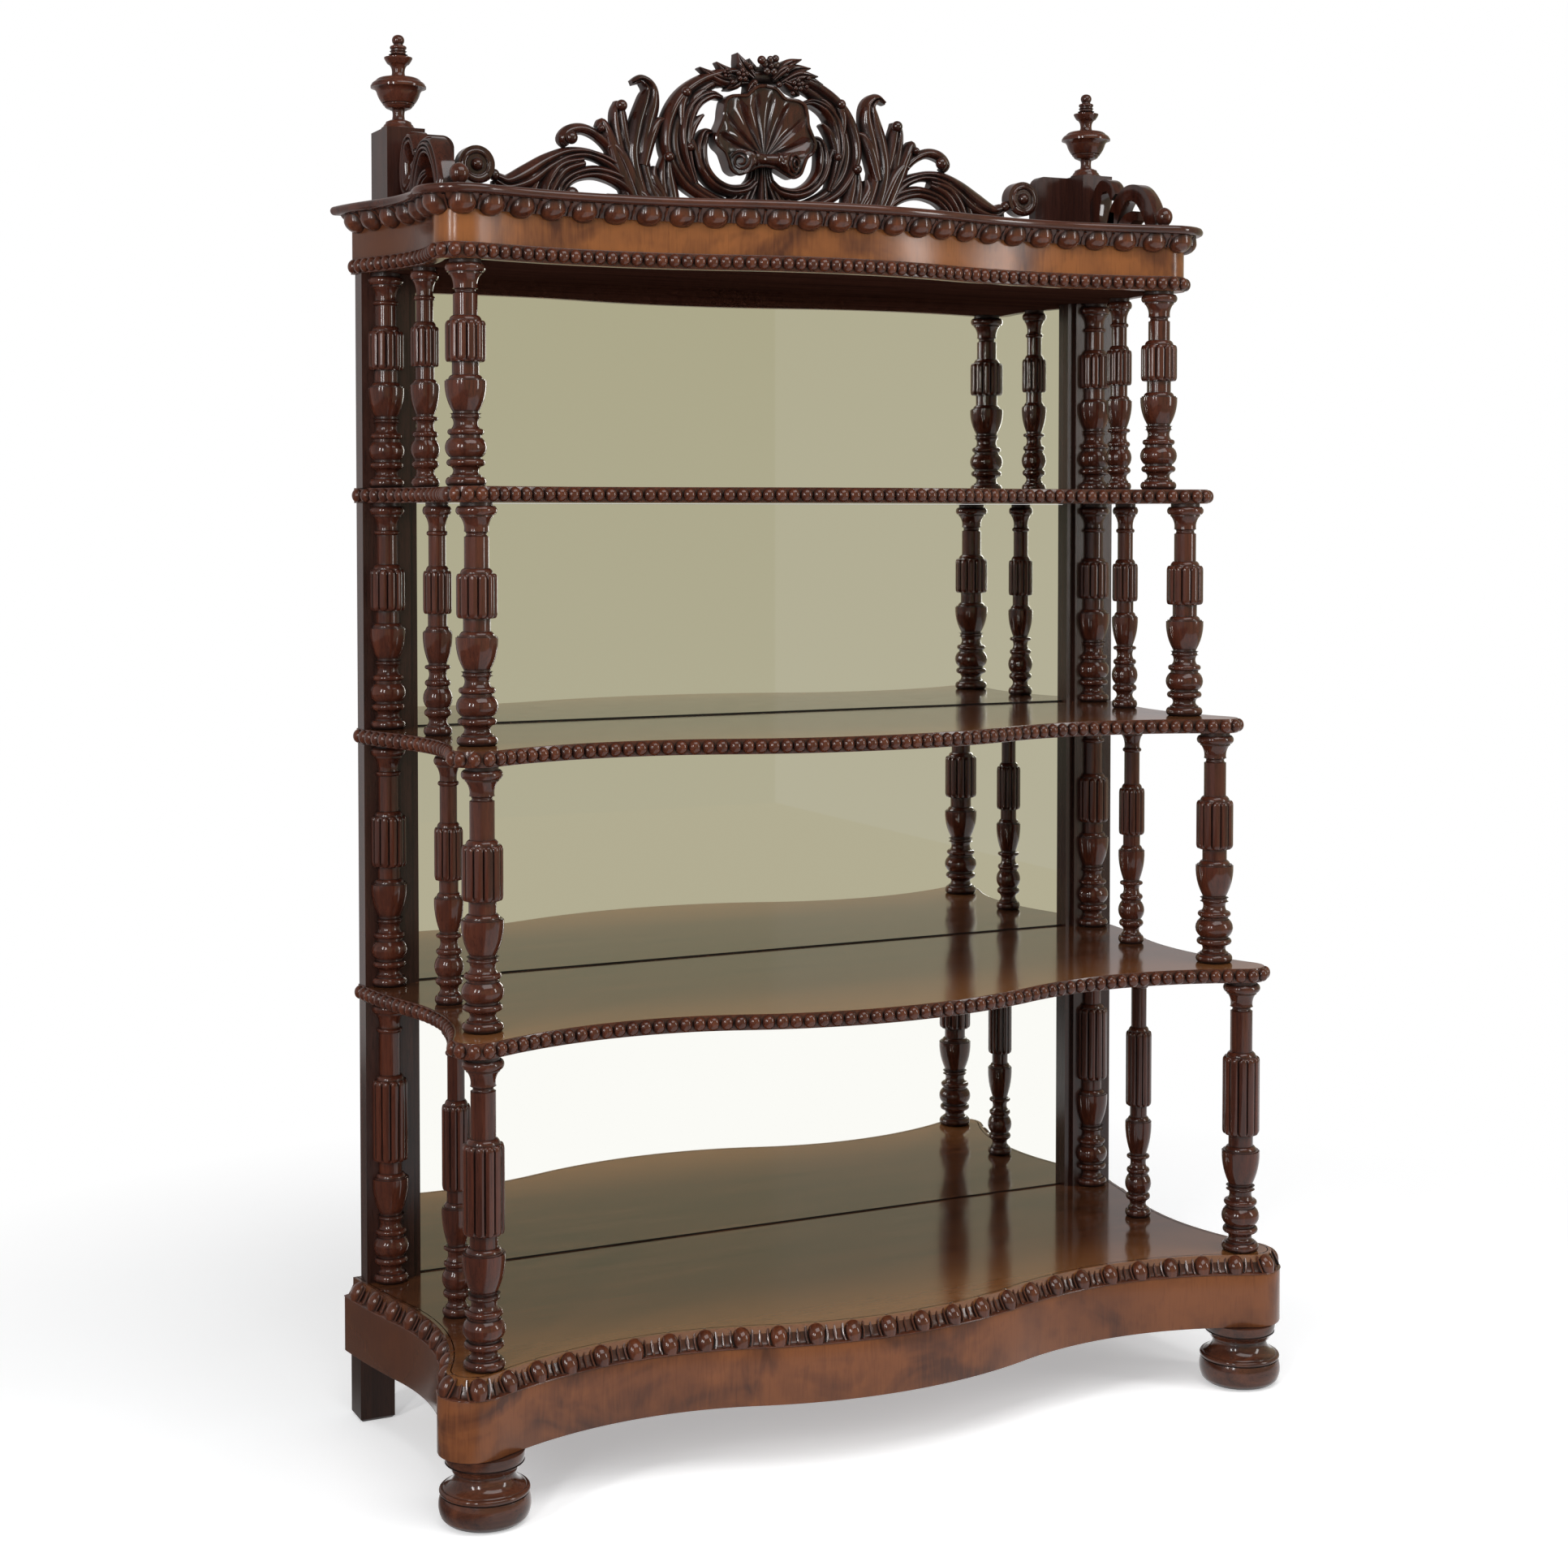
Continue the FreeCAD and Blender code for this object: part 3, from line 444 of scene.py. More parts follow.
def ball(work, centre, radii, rings=10, segments=16):
    """Rounded boss with three radii, along X, Y and Z."""
    rows = []
    for ring in range(rings + 1):
        tilt = math.pi * ((ring + 0.02) / (rings + 0.04) - 0.5)
        rows.append([centre + Vector((radii[0] * math.cos(tilt) * math.cos(angle),
                                      radii[1] * math.cos(tilt) * math.sin(angle),
                                      radii[2] * math.sin(tilt))) for angle in circle(segments)])
    work.skin(rows)


def cord(work, points, radii, sides=8):
    """Round ridge through points, with a radius at each."""
    rows = []
    lift = None
    for index, point in enumerate(points):
        ahead = (points[min(index + 1, len(points) - 1)] - points[max(index - 1, 0)]).normalized()
        lift = ahead.orthogonal() if lift is None else lift
        lift = (lift - ahead * lift.dot(ahead)).normalized()
        side = ahead.cross(lift)
        rows.append([point + (lift * math.cos(angle) + side * math.sin(angle)) * radii[index]
                     for angle in circle(sides)])
    work.skin(rows)


def facing(point, out, z):
    """Turn that carries a unit made facing +X at the origin to a place on a moulding."""
    return Matrix.Translation((point.x, point.y, z)) @ Matrix.Rotation(math.atan2(out.y, out.x), 4, "Z")


def lobe(half, reach, root, tip):
    """Carved lobe, straight-sided at its root and round at its tip; both are given (outward, height)."""
    work = Work()
    rows = []
    # three steps along the straight part, ten round the tip
    for step in range(14):
        straight = min(step, 3) / 3
        turn = max(0, step - 3) * math.pi / 20
        share = 0.4 * straight + 0.6 * math.sin(turn)
        swell = max(0.02, math.cos(turn)) ** 0.8 * (0.9 + 0.1 * straight)
        x = root[0] + (tip[0] - root[0]) * share ** 2
        z = root[1] + (tip[1] - root[1]) * share
        rows.append([Vector((x + reach * swell * math.cos(angle), half * swell * math.sin(angle), z)) * mm
                     for angle in circle(24)])
    work.skin(rows)
    return work


def spindle(shape):
    """Thin upright dart or reel through (outward, height, radius) points."""
    work = Work()
    cord(work, [Vector((x, 0, z)) * mm for x, z, radius in shape], [radius * mm for x, z, radius in shape])
    return work


def carve_course(work, level, line, pitch, unit, gap_unit, z):
    """Units along a level's edge, and smaller ones in the gaps; line is where the pitch is measured."""
    places = level.course(line, pitch, middles=True)
    for point, out, distance in places:
        work.repeat(unit, facing(point - out * line, out, z))
    for (p0, n0, s0), (p1, n1, s1) in zip(places, places[1:]):
        out = (n0 + n1).normalized()
        sag = (p1 - p0).dot(n1 - n0) / 8
        work.repeat(gap_unit, facing((p0 + p1) / 2 + out * (sag - line), out, z))


egg = lobe(12.4, 12.2, (-8.8, 1.2), (-17.0, 27.2))
shell_edge = [(-3.4, 13.4, 1.0), (-5.4, 14.6, 6), (-8.6, 15.4, 12), (-12.4, 15.4, 19), (-15.6, 14.6, 25)]
for side in (-1, 1):
    cord(egg, [Vector((x, side * y, z)) * mm for x, y, z in shell_edge], [1.7 * mm] * len(shell_edge))
tongue = spindle([(-4.4, 1.6, 3.0), (-7.6, 7, 1.8), (-9.8, 11.5, 2.8), (-13.4, 18, 1.6), (-16.4, 25, 2.4)])
ground = [(-20, 0), (1.2, 0), (1.2, 1.4), (-6.0, 3.0), (-9.5, 8.5), (-12.8, 16), (-15.6, 22), (-16.4, 25.6),
          (-17.4, 27), (-20, 27)]
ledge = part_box("plinth_frieze")[1].z
work = Work()
work.along(base, eased([(out * mm, ledge + z * mm) for out, z in ground], 0.6 * mm))
carve_course(work, base, -9 * mm, 49 * mm, egg, tongue, ledge)
work.piece("plinth_egg_moulding", carved, "plinth_nulled_moulding")

# ---- Bead mouldings ----
# Strips carved as a row of polished balls, glued to the edges of the shelves and round the foot of
# the canopy.
shelves = [
    Level((620, 438), 41, 500, 460, 621, 400, 800, 659, 11),
    Level((603, 389), 41, 444, 410, 616, 400, 480, 659, 11),
    Level((588, 327), 41, 392, 470, 610, 380, 450, 659, 11),
]
canopy_plan = ((581, 263), 36, 321, 680, 608, 320, 450, 650)
canopy = Level(*canopy_plan, 15)
bead_finish = wood("bead_mahogany", "Z", (0.115, 0.031, 0.014), (0.045, 0.013, 0.008), rough=0.05,
                   hollow=10.0)
strip, bead_pitch = 2.0 * mm, 18.9 * mm
bead = Work()
ball(bead, Vector((0.4, 0, 0)) * mm, (8.4 * mm, 9.3 * mm, 10.2 * mm), 12, 18)
bead_rows = [(shelf, "shelf_bead_moulding_%d" % (index + 1), -10 * mm)
             for index, shelf in enumerate(shelves)]
bead_rows.append((canopy, "canopy_bead_moulding", 0.0))
for level, name, edge in bead_rows:
    low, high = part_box(name)[0].z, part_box(name)[1].z
    work = Work()
    section = [(edge, low), (edge + strip, low), (edge + strip, high), (edge, high)]
    work.along(level, eased(section, 1.2 * mm))
    for point, out, distance in level.course(edge + strip, bead_pitch, middles=True):
        work.repeat(bead, facing(point, out, (low + high) / 2))
    work.piece(name + "_carved", bead_finish, name)

# ---- Canopy frieze, nulled cornice and top board ----
# A serpentine frieze in flame veneer under a cornice carved into large pendant lobes, with small
# reels between them, and a top board with a rounded nosing.
canopy_veneer = veneer("canopy_flame_veneer", (0.250, 0.088, 0.027), (0.075, 0.025, 0.013), 9.4, 0.5,
                       mirror_y - 263 * mm)
veneered_frieze("canopy_frieze", canopy, 16 * mm, 1.2 * mm, canopy_veneer)

null = lobe(19.6, 18.0, (4.6, -0.4), (-1.0, -27.2))
reel = spindle([(16.5, -0.6, 2.8), (12.6, -5, 1.7), (8.8, -9.5, 3.0), (5.6, -14, 1.7), (3.2, -18.5, 2.6)])
cornice = [(0, -19), (2.5, -19), (4, -16), (7, -12), (11, -7), (15, -3), (17, 0), (0, 0)]
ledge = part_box("canopy_frieze")[1].z
work = Work()
work.along(canopy, [(out * mm, ledge + z * mm) for out, z in cornice])
carve_course(work, canopy, 4 * mm, 51 * mm, null, reel, ledge)
work.piece("canopy_nulls_carved", carved, "canopy_nulled_moulding")

top_low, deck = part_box("top_board")[0].z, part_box("top_board")[1].z
top_outline = Level(*canopy_plan, 20).course(0, 10 * mm)
overhang, nose = 30 * mm, (deck - top_low) / 2
rows = []
for step in range(11):
    angle = math.pi * (step / 10 - 0.5)
    grow = overhang - nose + nose * math.cos(angle)
    z = top_low + nose + nose * math.sin(angle)
    rows.append([Vector((*(point + out * grow), z)) for point, out, distance in top_outline])
work = Work()
work.skin(rows)
top_finish = wood("top_mahogany", "X", (0.085, 0.026, 0.015), (0.034, 0.012, 0.009), rough=0.07)
work.piece("top_board_nosed", top_finish, "top_board")


# ---- Turned columns ----
# Mahogany turnings between the boards: rings and a ball at the foot, a vase, a reeded drum, a slim
# shaft and a flared cap. Slimmer ones stand halfway back, and split ones are planted on the posts.
def bent(low, middle, high, steps):
    """Points on the arc through three points, the first left out."""
    (ax, ay), (bx, by), (cx, cy) = low, middle, high
    bulk = 2 * (ax * (by - cy) + bx * (cy - ay) + cx * (ay - by))
    a2, b2, c2 = ax * ax + ay * ay, bx * bx + by * by, cx * cx + cy * cy
    centre = Vector(((a2 * (by - cy) + b2 * (cy - ay) + c2 * (ay - by)) / bulk,
                     (a2 * (cx - bx) + b2 * (ax - cx) + c2 * (bx - ax)) / bulk))
    first, last = Vector(low) - centre, Vector(high) - centre
    turn = math.atan2(first.cross(last), first.dot(last))
    return [tuple(centre + Matrix.Rotation(turn * step / steps, 2) @ first) for step in range(1, steps + 1)]


def turned(members, base_z=0.0, scale=1.0, steps=6):
    """Profile (radius, height) of a turning given in mm as (height, radius at foot, middle, top), foot up."""
    profile = []
    z = 0.0
    for height, foot, middle, top in members:
        low, high = (foot * scale, z), (top * scale, z + height)
        if not profile or (Vector(profile[-1]) - Vector(low)).length > 1e-6:
            profile.append(low)
        profile += [high] if middle is None else bent(low, (middle * scale, z + height / 2), high, steps)
        z += height
    return [(radius * mm, base_z + height * mm) for radius, height in profile]


def lathe(work, profile, x, y, segments, first=0.0, last=2 * math.pi):
    """Turns a profile about an upright axis, whole or in part."""
    whole = last - first > 2 * math.pi - 0.01
    angles = [first + (last - first) * k / segments for k in range(segments if whole else segments + 1)]
    work.skin([[Vector((x + r * math.cos(a), y + r * math.sin(a), z)) for a in angles] for r, z in profile])


reeds, reed_depth, drum_radius = 12, 4.2 * mm, 28.4 * mm
column_radius = 29
column_foot = [
    (13, 24, 28.4, 25), (2.5, 22, None, 22), (12.5, 21.5, 17.6, 22.5), (10, 23, 27, 23),
    (3, 21.5, None, 21.5), (26, 23, 29, 23), (4, 21.5, None, 21.5), (9, 21.5, 25.5, 21.5),
    (15, 20, 17, 19.5), (6, 22, 25.5, 22), (3, 18, None, 18),
]
shoulder = [(2, 27, None, 27), (6, 24, 23, 20), (18, 18.8, None, 18.8)]
column_head = [(7, 17, 20.8, 17.5), (20, 17, 17.3, 22), (3, 23, None, 23), (12, 25.5, 28.4, 25),
               (5, 22.5, None, 22.5)]
vases, drums = (51, 47, 44, 42), (121, 75, 61, 57)
tier_floor = [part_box("mirror_plate_%d" % tier)[0].z for tier in range(1, 5)]
tier_ceiling = [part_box("tier_%d_left_front_column" % tier)[1].z - 8 * mm for tier in range(1, 5)]


def reeded(work, x, y, low, high, scale, first, last):
    """Drum of convex reeds with rounded ends, rising from a plain ground."""
    whole = last - first > 2 * math.pi - 0.01
    count = round(reeds * 10 * (last - first) / (2 * math.pi))
    half = math.pi * drum_radius / reeds
    length = high - low
    ends = [0.0, 0.04, 0.12, 0.25, 0.42, 0.62, 0.85, 1.0]
    rows = []
    for height in [half * e for e in ends] + [length - half * e for e in reversed(ends)]:
        from_end = min(height, length - height)
        row = []
        for k in range(count if whole else count + 1):
            angle = first + (last - first) * k / count
            aside = abs(((angle * reeds / (2 * math.pi) + 0.5) % 1.0) - 0.5) * 2 * half
            reach = math.hypot(aside, half - from_end) if from_end < half else aside
            rise = math.sqrt(max(0.0, 1 - min(1.0, reach / half) ** 2))
            radius = (drum_radius - reed_depth * (1 - rise ** 0.75)) * scale
            row.append(Vector((x + radius * math.cos(angle), y + radius * math.sin(angle), low + height)))
        rows.append(row)
    work.skin(rows)


def column(work, tier, x, y, radius, first=0.0, last=2 * math.pi):
    """One turned column of a tier, from the board below to the board above."""
    scale = radius / column_radius
    lower = column_foot + [(vases[tier], 18.5, 27, 29)] + shoulder
    low_end = tier_floor[tier] + sum(member[0] for member in lower) * mm
    drum_end = low_end + drums[tier] * mm
    cove = (7, 22.5, 21.5, 18)
    shaft = tier_ceiling[tier] - drum_end - sum(member[0] for member in [cove] + column_head) * mm
    upper = [cove, (shaft / mm, 17, None, 17)] + column_head
    sides = 48 if last - first > 4 else 24
    for members, foot in ((lower, tier_floor[tier]), (upper, drum_end)):
        lathe(work, turned(members, foot, scale), x, y, sides, first, last)
    reeded(work, x, y, low_end, drum_end, scale, first, last)


both_sides = (("left", -1), ("right", 1))
column_finish = wood("turned_mahogany", "Z", (0.100, 0.027, 0.014), (0.032, 0.010, 0.007), rough=0.05,
                     hollow=10.0)
# radius, then for each tier the distance from the middle and forward of the mirror
rows_of_columns = [("front", column_radius, (614, 597, 582, 575), (443, 394, 332, 268)),
                   ("middle", 21, (577, 578, 583, 590), (218, 193, 163, 132))]
for tier in range(4):
    for place, radius, column_x, column_out in rows_of_columns:
        work = Work()
        column(work, tier, 0, 0, radius)
        right = Vector((column_x[tier] * mm, mirror_y - column_out[tier] * mm, 0))
        node = "tier_%d_%%s_%s_column" % (tier + 1, place)
        post = work.piece(node % "right" + "_turned", column_finish, node % "right", shift=right)
        placed(node % "left" + "_turned", post.data, node % "left", shift=Vector((-right.x, right.y, 0)))

post_x, post_face, split_radius = 614 * mm, mirror_y - 21 * mm, 27
for side, sign in both_sides:
    work = Work()
    for tier in range(4):
        column(work, tier, sign * post_x, post_face, split_radius, -math.pi, 0.0)
    work.piece(side + "_split_columns", column_finish, side + "_half_columns")

# ---- Bun feet ----
# Turned mahogany feet with a wide squashed ball, a cove and a dished collar under the plinth, each
# let into its corner block with a round tenon.
foot_finish = wood("foot_mahogany", "X", (0.110, 0.036, 0.018), (0.030, 0.011, 0.008), rough=0.06, hollow=9.0)
# heights in millimetres, radii as shares of the widest
bun = [
    (9, 0.72, 0.885, 0.95), (29, 0.95, 1, 0.955), (1.5, 0.93, None, 0.93), (7, 0.955, 0.985, 0.92),
    (1.5, 0.90, None, 0.885), (18, 0.885, 0.70, 0.655), (4, 0.655, 0.65, 0.67), (1.5, 0.72, None, 0.72),
    (9, 0.74, 0.785, 0.86), (2, 0.83, None, 0.83), (12.5, 0.85, 0.87, 0.87),
]
bun_radius, bun_head = 62, 95 * mm
tenon_radius, tenon_end = 10 * mm, 135 * mm
bun_x, bun_y = 614 * mm, mirror_y - 443 * mm
for side, sign in both_sides:
    work = Work()
    profile = turned(bun, scale=bun_radius, steps=10) + [(tenon_radius, bun_head), (tenon_radius, tenon_end)]
    lathe(work, profile, sign * bun_x, bun_y, 72)
    work.piece(side + "_bun_foot_turned", foot_finish, side + "_bun_foot")

# ---- Pedestals, urn finials and corner knobs ----
# Plain blocks at the back corners, each with a wing board towards the crest, carry turned urns. A
# small turned knob stands at each front corner.
dark_finish = wood("pedestal_mahogany", "Z", (0.048, 0.016, 0.011), (0.020, 0.007, 0.006), rough=0.2,
                   gloss=0.25)
dressed(dark_finish, "left_pedestal", "right_pedestal")
urn = [
    (4, 24, 25.4, 24), (4, 23, None, 21), (4.5, 19.5, 19, 18), (3, 17, 14.4, 11), (14, 9.6, 8.6, 9.6),
    (2, 12, None, 15.5), (5, 16.5, 19.8, 21), (3, 21.8, 23, 21.8), (16, 24, 29, 31.8), (6, 32, 34, 38.6),
    (3, 40.3, None, 40.3), (6, 39.6, 38.4, 34.6), (6, 34, 31.6, 24), (2, 18, None, 12), (9, 11, 9.4, 9.6),
    (9, 9.6, 10.8, 15), (8, 15.6, 18.4, 20.5), (1.5, 20.5, None, 20.5), (4, 18, 13.6, 11.5),
    (5, 14, 16, 12.5), (3, 10.5, None, 10.5), (5, 10.6, 12.2, 9.6), (2.5, 7.4, None, 7),
    (13.5, 6.6, 9.0, 0.8),
]
knob = [(3.5, 12.8, None, 12.8), (4, 10.8, 7.8, 8.4), (26.5, 8.4, 13.5, 1.6)]
urn_place = (593.5 * mm, mirror_y - 24 * mm, deck + 110 * mm)
knob_place = (583 * mm, mirror_y - 268 * mm, deck)
for side, sign in both_sides:
    for name, members, (x, y, z) in (("finial", urn, urn_place), ("corner_knob", knob, knob_place)):
        work = Work()
        lathe(work, turned(members, z, steps=8), sign * x, y, 56)
        work.piece("%s_%s_turned" % (side, name), column_finish, "%s_%s" % (side, name))


# ---- Carved scroll brackets ----
# Leafy C-scrolls sawn from thick mahogany and carved on the outer face. They run forward from each
# pedestal to the corner knob and are dowelled to the top board.
def flowing(path, steps=7):
    """Smooth run through (u, v, half-width) points."""
    spots = [Vector(p) for p in path]
    spots = [spots[0] * 2 - spots[1]] + spots + [spots[-1] * 2 - spots[-2]]
    smooth = []
    for a, b, c, d in zip(spots, spots[1:], spots[2:], spots[3:]):
        for step in range(steps):
            t = step / steps
            smooth.append((b * 2 + (c - a) * t + (a * 2 - b * 5 + c * 4 - d) * t * t
                           + (b * 3 - a - c * 3 + d) * t * t * t) / 2)
    return smooth + [spots[-2]]


def strand(work, path, place, flutes, lift, relief, sway=0.45):
    """Carved leaf or scroll along a path: full flutes between sharp grooves that drift across it."""
    count = 8 * flutes + 6
    rows = []
    spots = flowing(path)
    for index, spot in enumerate(spots):
        ahead = (spots[min(index + 1, len(spots) - 1)] - spots[max(index - 1, 0)]).xy.normalized()
        share = index / (len(spots) - 1)
        half = max(spot.z, 0.6)
        swell = min(1.0, half / 10)
        row = [place(spot.x + ahead.y * half, spot.y - ahead.x * half, 0.0)]
        for k in range(count + 1):
            t = 2 * k / count - 1
            drift = (t + 1 + sway * (share - 0.4) * (1 - t * t)) / 2
            flute = abs(math.sin(math.pi * flutes * drift)) ** 0.55
            crown = math.sqrt(max(0.0, 1 - t * t * 0.98))
            high = lift + relief * swell * crown * (0.42 + 0.58 * flute)
            row.append(place(spot.x - ahead.y * half * t, spot.y + ahead.x * half * t, high))
        row.append(place(spot.x - ahead.y * half, spot.y + ahead.x * half, 0.0))
        rows.append(row)
    work.skin(rows)


crest_finish = wood("crest_mahogany", "Z", (0.062, 0.015, 0.008), (0.014, 0.004, 0.003), rough=0.02,
                    gloss=0.55, hollow=17.0)
# paths from the back end of the bracket, forward and up, with half-widths, and the flutes of each
bracket_strands = [
    (((68, 66, 8), (52, 86, 9), (28, 84, 11), (14, 58, 13), (16, 26, 14), (36, 12, 13), (58, 20, 10),
      (64, 42, 7)), 2),
    (((56, 2, 14), (72, 40, 15), (100, 66, 12), (134, 64, 14), (158, 44, 15), (174, 16, 14),
      (178, 2, 12)), 4),
    (((82, 2, 14), (104, 22, 12), (126, 30, 8)), 3),
]
bracket_x, bracket_y = 579.5 * mm, mirror_y - 60 * mm


def sideways(sign):
    """Place on a bracket: forward of its back end, above the deck, outward from its inner face."""
    return lambda u, v, w: Vector((sign * (bracket_x + w * mm), bracket_y - u * mm, deck + max(v, 0.0) * mm))


for side, sign in both_sides:
    work = Work()
    place = sideways(sign)
    for path, flutes in bracket_strands:
        strand(work, path, place, flutes, 19, 9)
    for u, v, radius in ((62, 46, 8), (66, 66, 6)):
        ball(work, place(u, v, 22), (radius * mm * 0.6, radius * mm, radius * mm))
    work.piece(side + "_bracket_carved", crest_finish, side + "_scroll_bracket")

# ---- Carved crest ----
# Pierced mahogany in three boards: a scallop shell in a ring of leafy C-scrolls under a garland, and
# foliage that runs down to a volute at each end.
def frontal(sign):
    """Place on the crest: to one side of the middle, above the deck, forward of the mirror."""
    return lambda u, v, w: Vector((sign * u * mm, mirror_y - w * mm, deck + max(v, 0.0) * mm))


# runs of (outward, up, half-width) with flutes, height of the edges and depth of carving
foliage_runs = [
    (((176, 0, 26), (200, 50, 22), (211, 100, 21), (203, 145, 21), (192, 180, 19), (190, 203, 13),
      (204, 216, 8), (220, 210, 4)), 2, 9, 15),
    (((204, 84, 10), (193, 124, 11), (180, 150, 8), (168, 157, 4)), 1, 15, 11),
    (((200, 10, 22), (222, 70, 20), (236, 125, 16), (241, 160, 14), (240, 180, 7)), 2, 7, 13),
    (((212, 20, 16), (240, 80, 14), (257, 122, 11), (268, 146, 7), (276, 138, 4)), 1, 10, 12),
    (((206, 30, 12), (232, 86, 10), (250, 110, 7), (262, 108, 4)), 1, 16, 9),
    (((220, 30, 14), (246, 92, 9), (268, 120, 8), (296, 134, 8), (320, 131, 9), (333, 118, 8), (326, 107, 5)),
     1, 9, 12),
    (((205, 20, 16), (244, 76, 11), (285, 96, 8), (322, 95, 11), (355, 80, 15), (388, 58, 18), (420, 46, 13),
      (438, 52, 9)), 2, 9, 13),
    (((300, 84, 8), (334, 72, 13), (356, 44, 13), (364, 14, 10), (364, 0, 9)), 2, 14, 11),
    (((196, 0, 18), (226, 50, 13), (272, 69, 11), (312, 63, 10), (336, 44, 10), (336, 24, 8), (324, 20, 5)),
     2, 11, 12),
    (((190, 0, 16), (226, 24, 13), (262, 30, 9)), 2, 12, 10),
    (((362, 70, 14), (382, 34, 22), (396, 0, 34)), 3, 6, 10),
    (((430, 0, 26), (432, 30, 16), (438, 50, 7)), 2, 6, 9),
    (((184, 0, 12), (192, 22, 11), (204, 38, 9), (214, 46, 5)), 1, 18, 10),
    (((172, 8, 12), (174, 34, 10), (186, 52, 7), (196, 58, 4)), 1, 16, 9),
]


def volute(work, place, u, v, radius, lift):
    """End scroll: a round block whose bold smooth rim winds in round a domed eye."""
    block = radius * 0.97
    work.skin([[place(u + block * math.cos(angle), v + block * math.sin(angle), w) for angle in circle(40)]
               for w in (0, lift - 5)])
    points = []
    radii = []
    for step in range(33):
        share = step / 32
        reach = radius * (0.78 - share * 0.20)
        angle = -2.4 + share * 2.6 * math.pi
        points.append(place(u + reach * math.cos(angle), v + reach * math.sin(angle), lift - 8 + share * 2))
        radii.append(radius * (0.24 - 0.15 * share) * mm)
    cord(work, points, radii, 12)
    ball(work, place(u, v, lift - 8), (radius * 0.36 * mm, 12 * mm, radius * 0.36 * mm), 12, 20)


for side, sign in both_sides:
    work = Work()
    place = frontal(sign)
    for path, flutes, lift, relief in foliage_runs:
        strand(work, path, place, flutes, lift, relief)
    volute(work, place, 473, 69, 29, 28)
    ball(work, place(443, 56, 14), (8 * mm, 9 * mm, 9 * mm))
    for u, v, radius in ((321, 119, 10), (239, 173, 9), (321, 33, 12), (273, 136, 6)):
        ball(work, place(u, v, 17), (radius * mm, 9 * mm, radius * mm), 12, 18)
    work.piece("crest_%s_carved" % side, crest_finish, "crest_%s_foliage" % side)

ring_runs = [
    (((24, 240, 7), (64, 236, 8), (104, 222, 9), (138, 197, 10), (159, 162, 11), (166, 124, 10), (158, 94, 9),
      (136, 62, 8), (104, 42, 7), (74, 32, 6)), 1, 12, 14),
    (((36, 229, 8), (70, 224, 8), (100, 209, 9), (128, 184, 10), (145, 152, 11), (149, 120, 11),
      (140, 88, 10), (116, 60, 9), (88, 44, 8), (60, 34, 8)), 1, 8, 12),
    (((116, 62, 5), (128, 96, 8), (134, 130, 11), (128, 164, 12), (112, 188, 10), (88, 200, 7), (70, 197, 3)),
     2, 17, 12),
    (((130, 118, 5), (122, 146, 7), (112, 160, 5), (103, 168, 2)), 1, 20, 8),
    (((140, 150, 4), (140, 178, 7), (134, 196, 7), (132, 203, 4)), 1, 20, 9),
    (((128, 166, 4), (120, 190, 6), (108, 202, 4), (100, 206, 2)), 1, 21, 8),
    (((86, 143, 4), (99, 139, 9), (106, 116, 12), (102, 88, 12), (84, 66, 11), (58, 55, 10), (30, 58, 9),
      (14, 70, 8)), 2, 12, 13),
    (((122, 128, 3), (114, 106, 5), (106, 84, 6), (92, 66, 4)), 1, 20, 8),
    (((158, 0, 20), (160, 36, 20), (164, 72, 16), (163, 100, 8)), 2, 10, 13),
    (((184, 84, 4), (186, 66, 9), (172, 40, 10), (160, 10, 9)), 1, 15, 10),
    (((100, 0, 26), (92, 20, 16), (80, 36, 8)), 2, 6, 9),
]
work = Work()
for sign in (-1, 1):
    place = frontal(sign)
    for path, flutes, lift, relief in ring_runs:
        strand(work, path, place, flutes, lift, relief)
    for u, v, radius in ((134, 200, 8), (128, 116, 7), (163, 99, 8)):
        ball(work, place(u, v, 24), (radius * mm, 8 * mm, radius * mm), 12, 18)

# the scallop, dished and fluted from its hinge out to a thin lobed rim
shell_rim = [
    (0, 222), (16, 219), (27, 210), (34, 204), (46, 203), (60, 201), (70, 194), (74, 179), (76, 163),
    (83, 147), (88, 134), (84, 121), (73, 111), (67, 97), (61, 84), (48, 78), (32, 84), (16, 92), (0, 94),
]
hinge = Vector((0, 106))
middle_place = frontal(1)
outline = [spot.xy for spot in flowing([(*point, 1) for point in shell_rim], 5)]
outline += [Vector((-spot.x, spot.y)) for spot in reversed(outline[1:-1])]
rows = [[middle_place(*spot, 0) for spot in outline]]
for step in range(23):
    reach = 1 - step / 22
    row = []
    for spot in outline:
        out = spot - hinge
        around = math.atan2(out.x, out.y)
        flute = abs(math.cos(around * 9.5 + 0.35 * math.sin(around * 3))) ** 0.6
        fan = max(0.0, math.cos(around * 0.62)) ** 0.5
        dish = 8 + 20 * reach ** 3 + 14 * (1 - reach) ** 2
        carve = 6.0 * flute * fan * min(1.0, (1 - reach) * 7) * min(1.0, reach * 3)
        row.append(middle_place(*(hinge + out * max(reach, 0.02)), dish + carve))
    rows.append(row)
work.skin(rows, ends=False)
rim = [middle_place(*(hinge + (spot - hinge) * 0.97), 29.5) for spot in outline]
cord(work, rim + rim[:1], [2.9 * mm] * (len(rim) + 1))

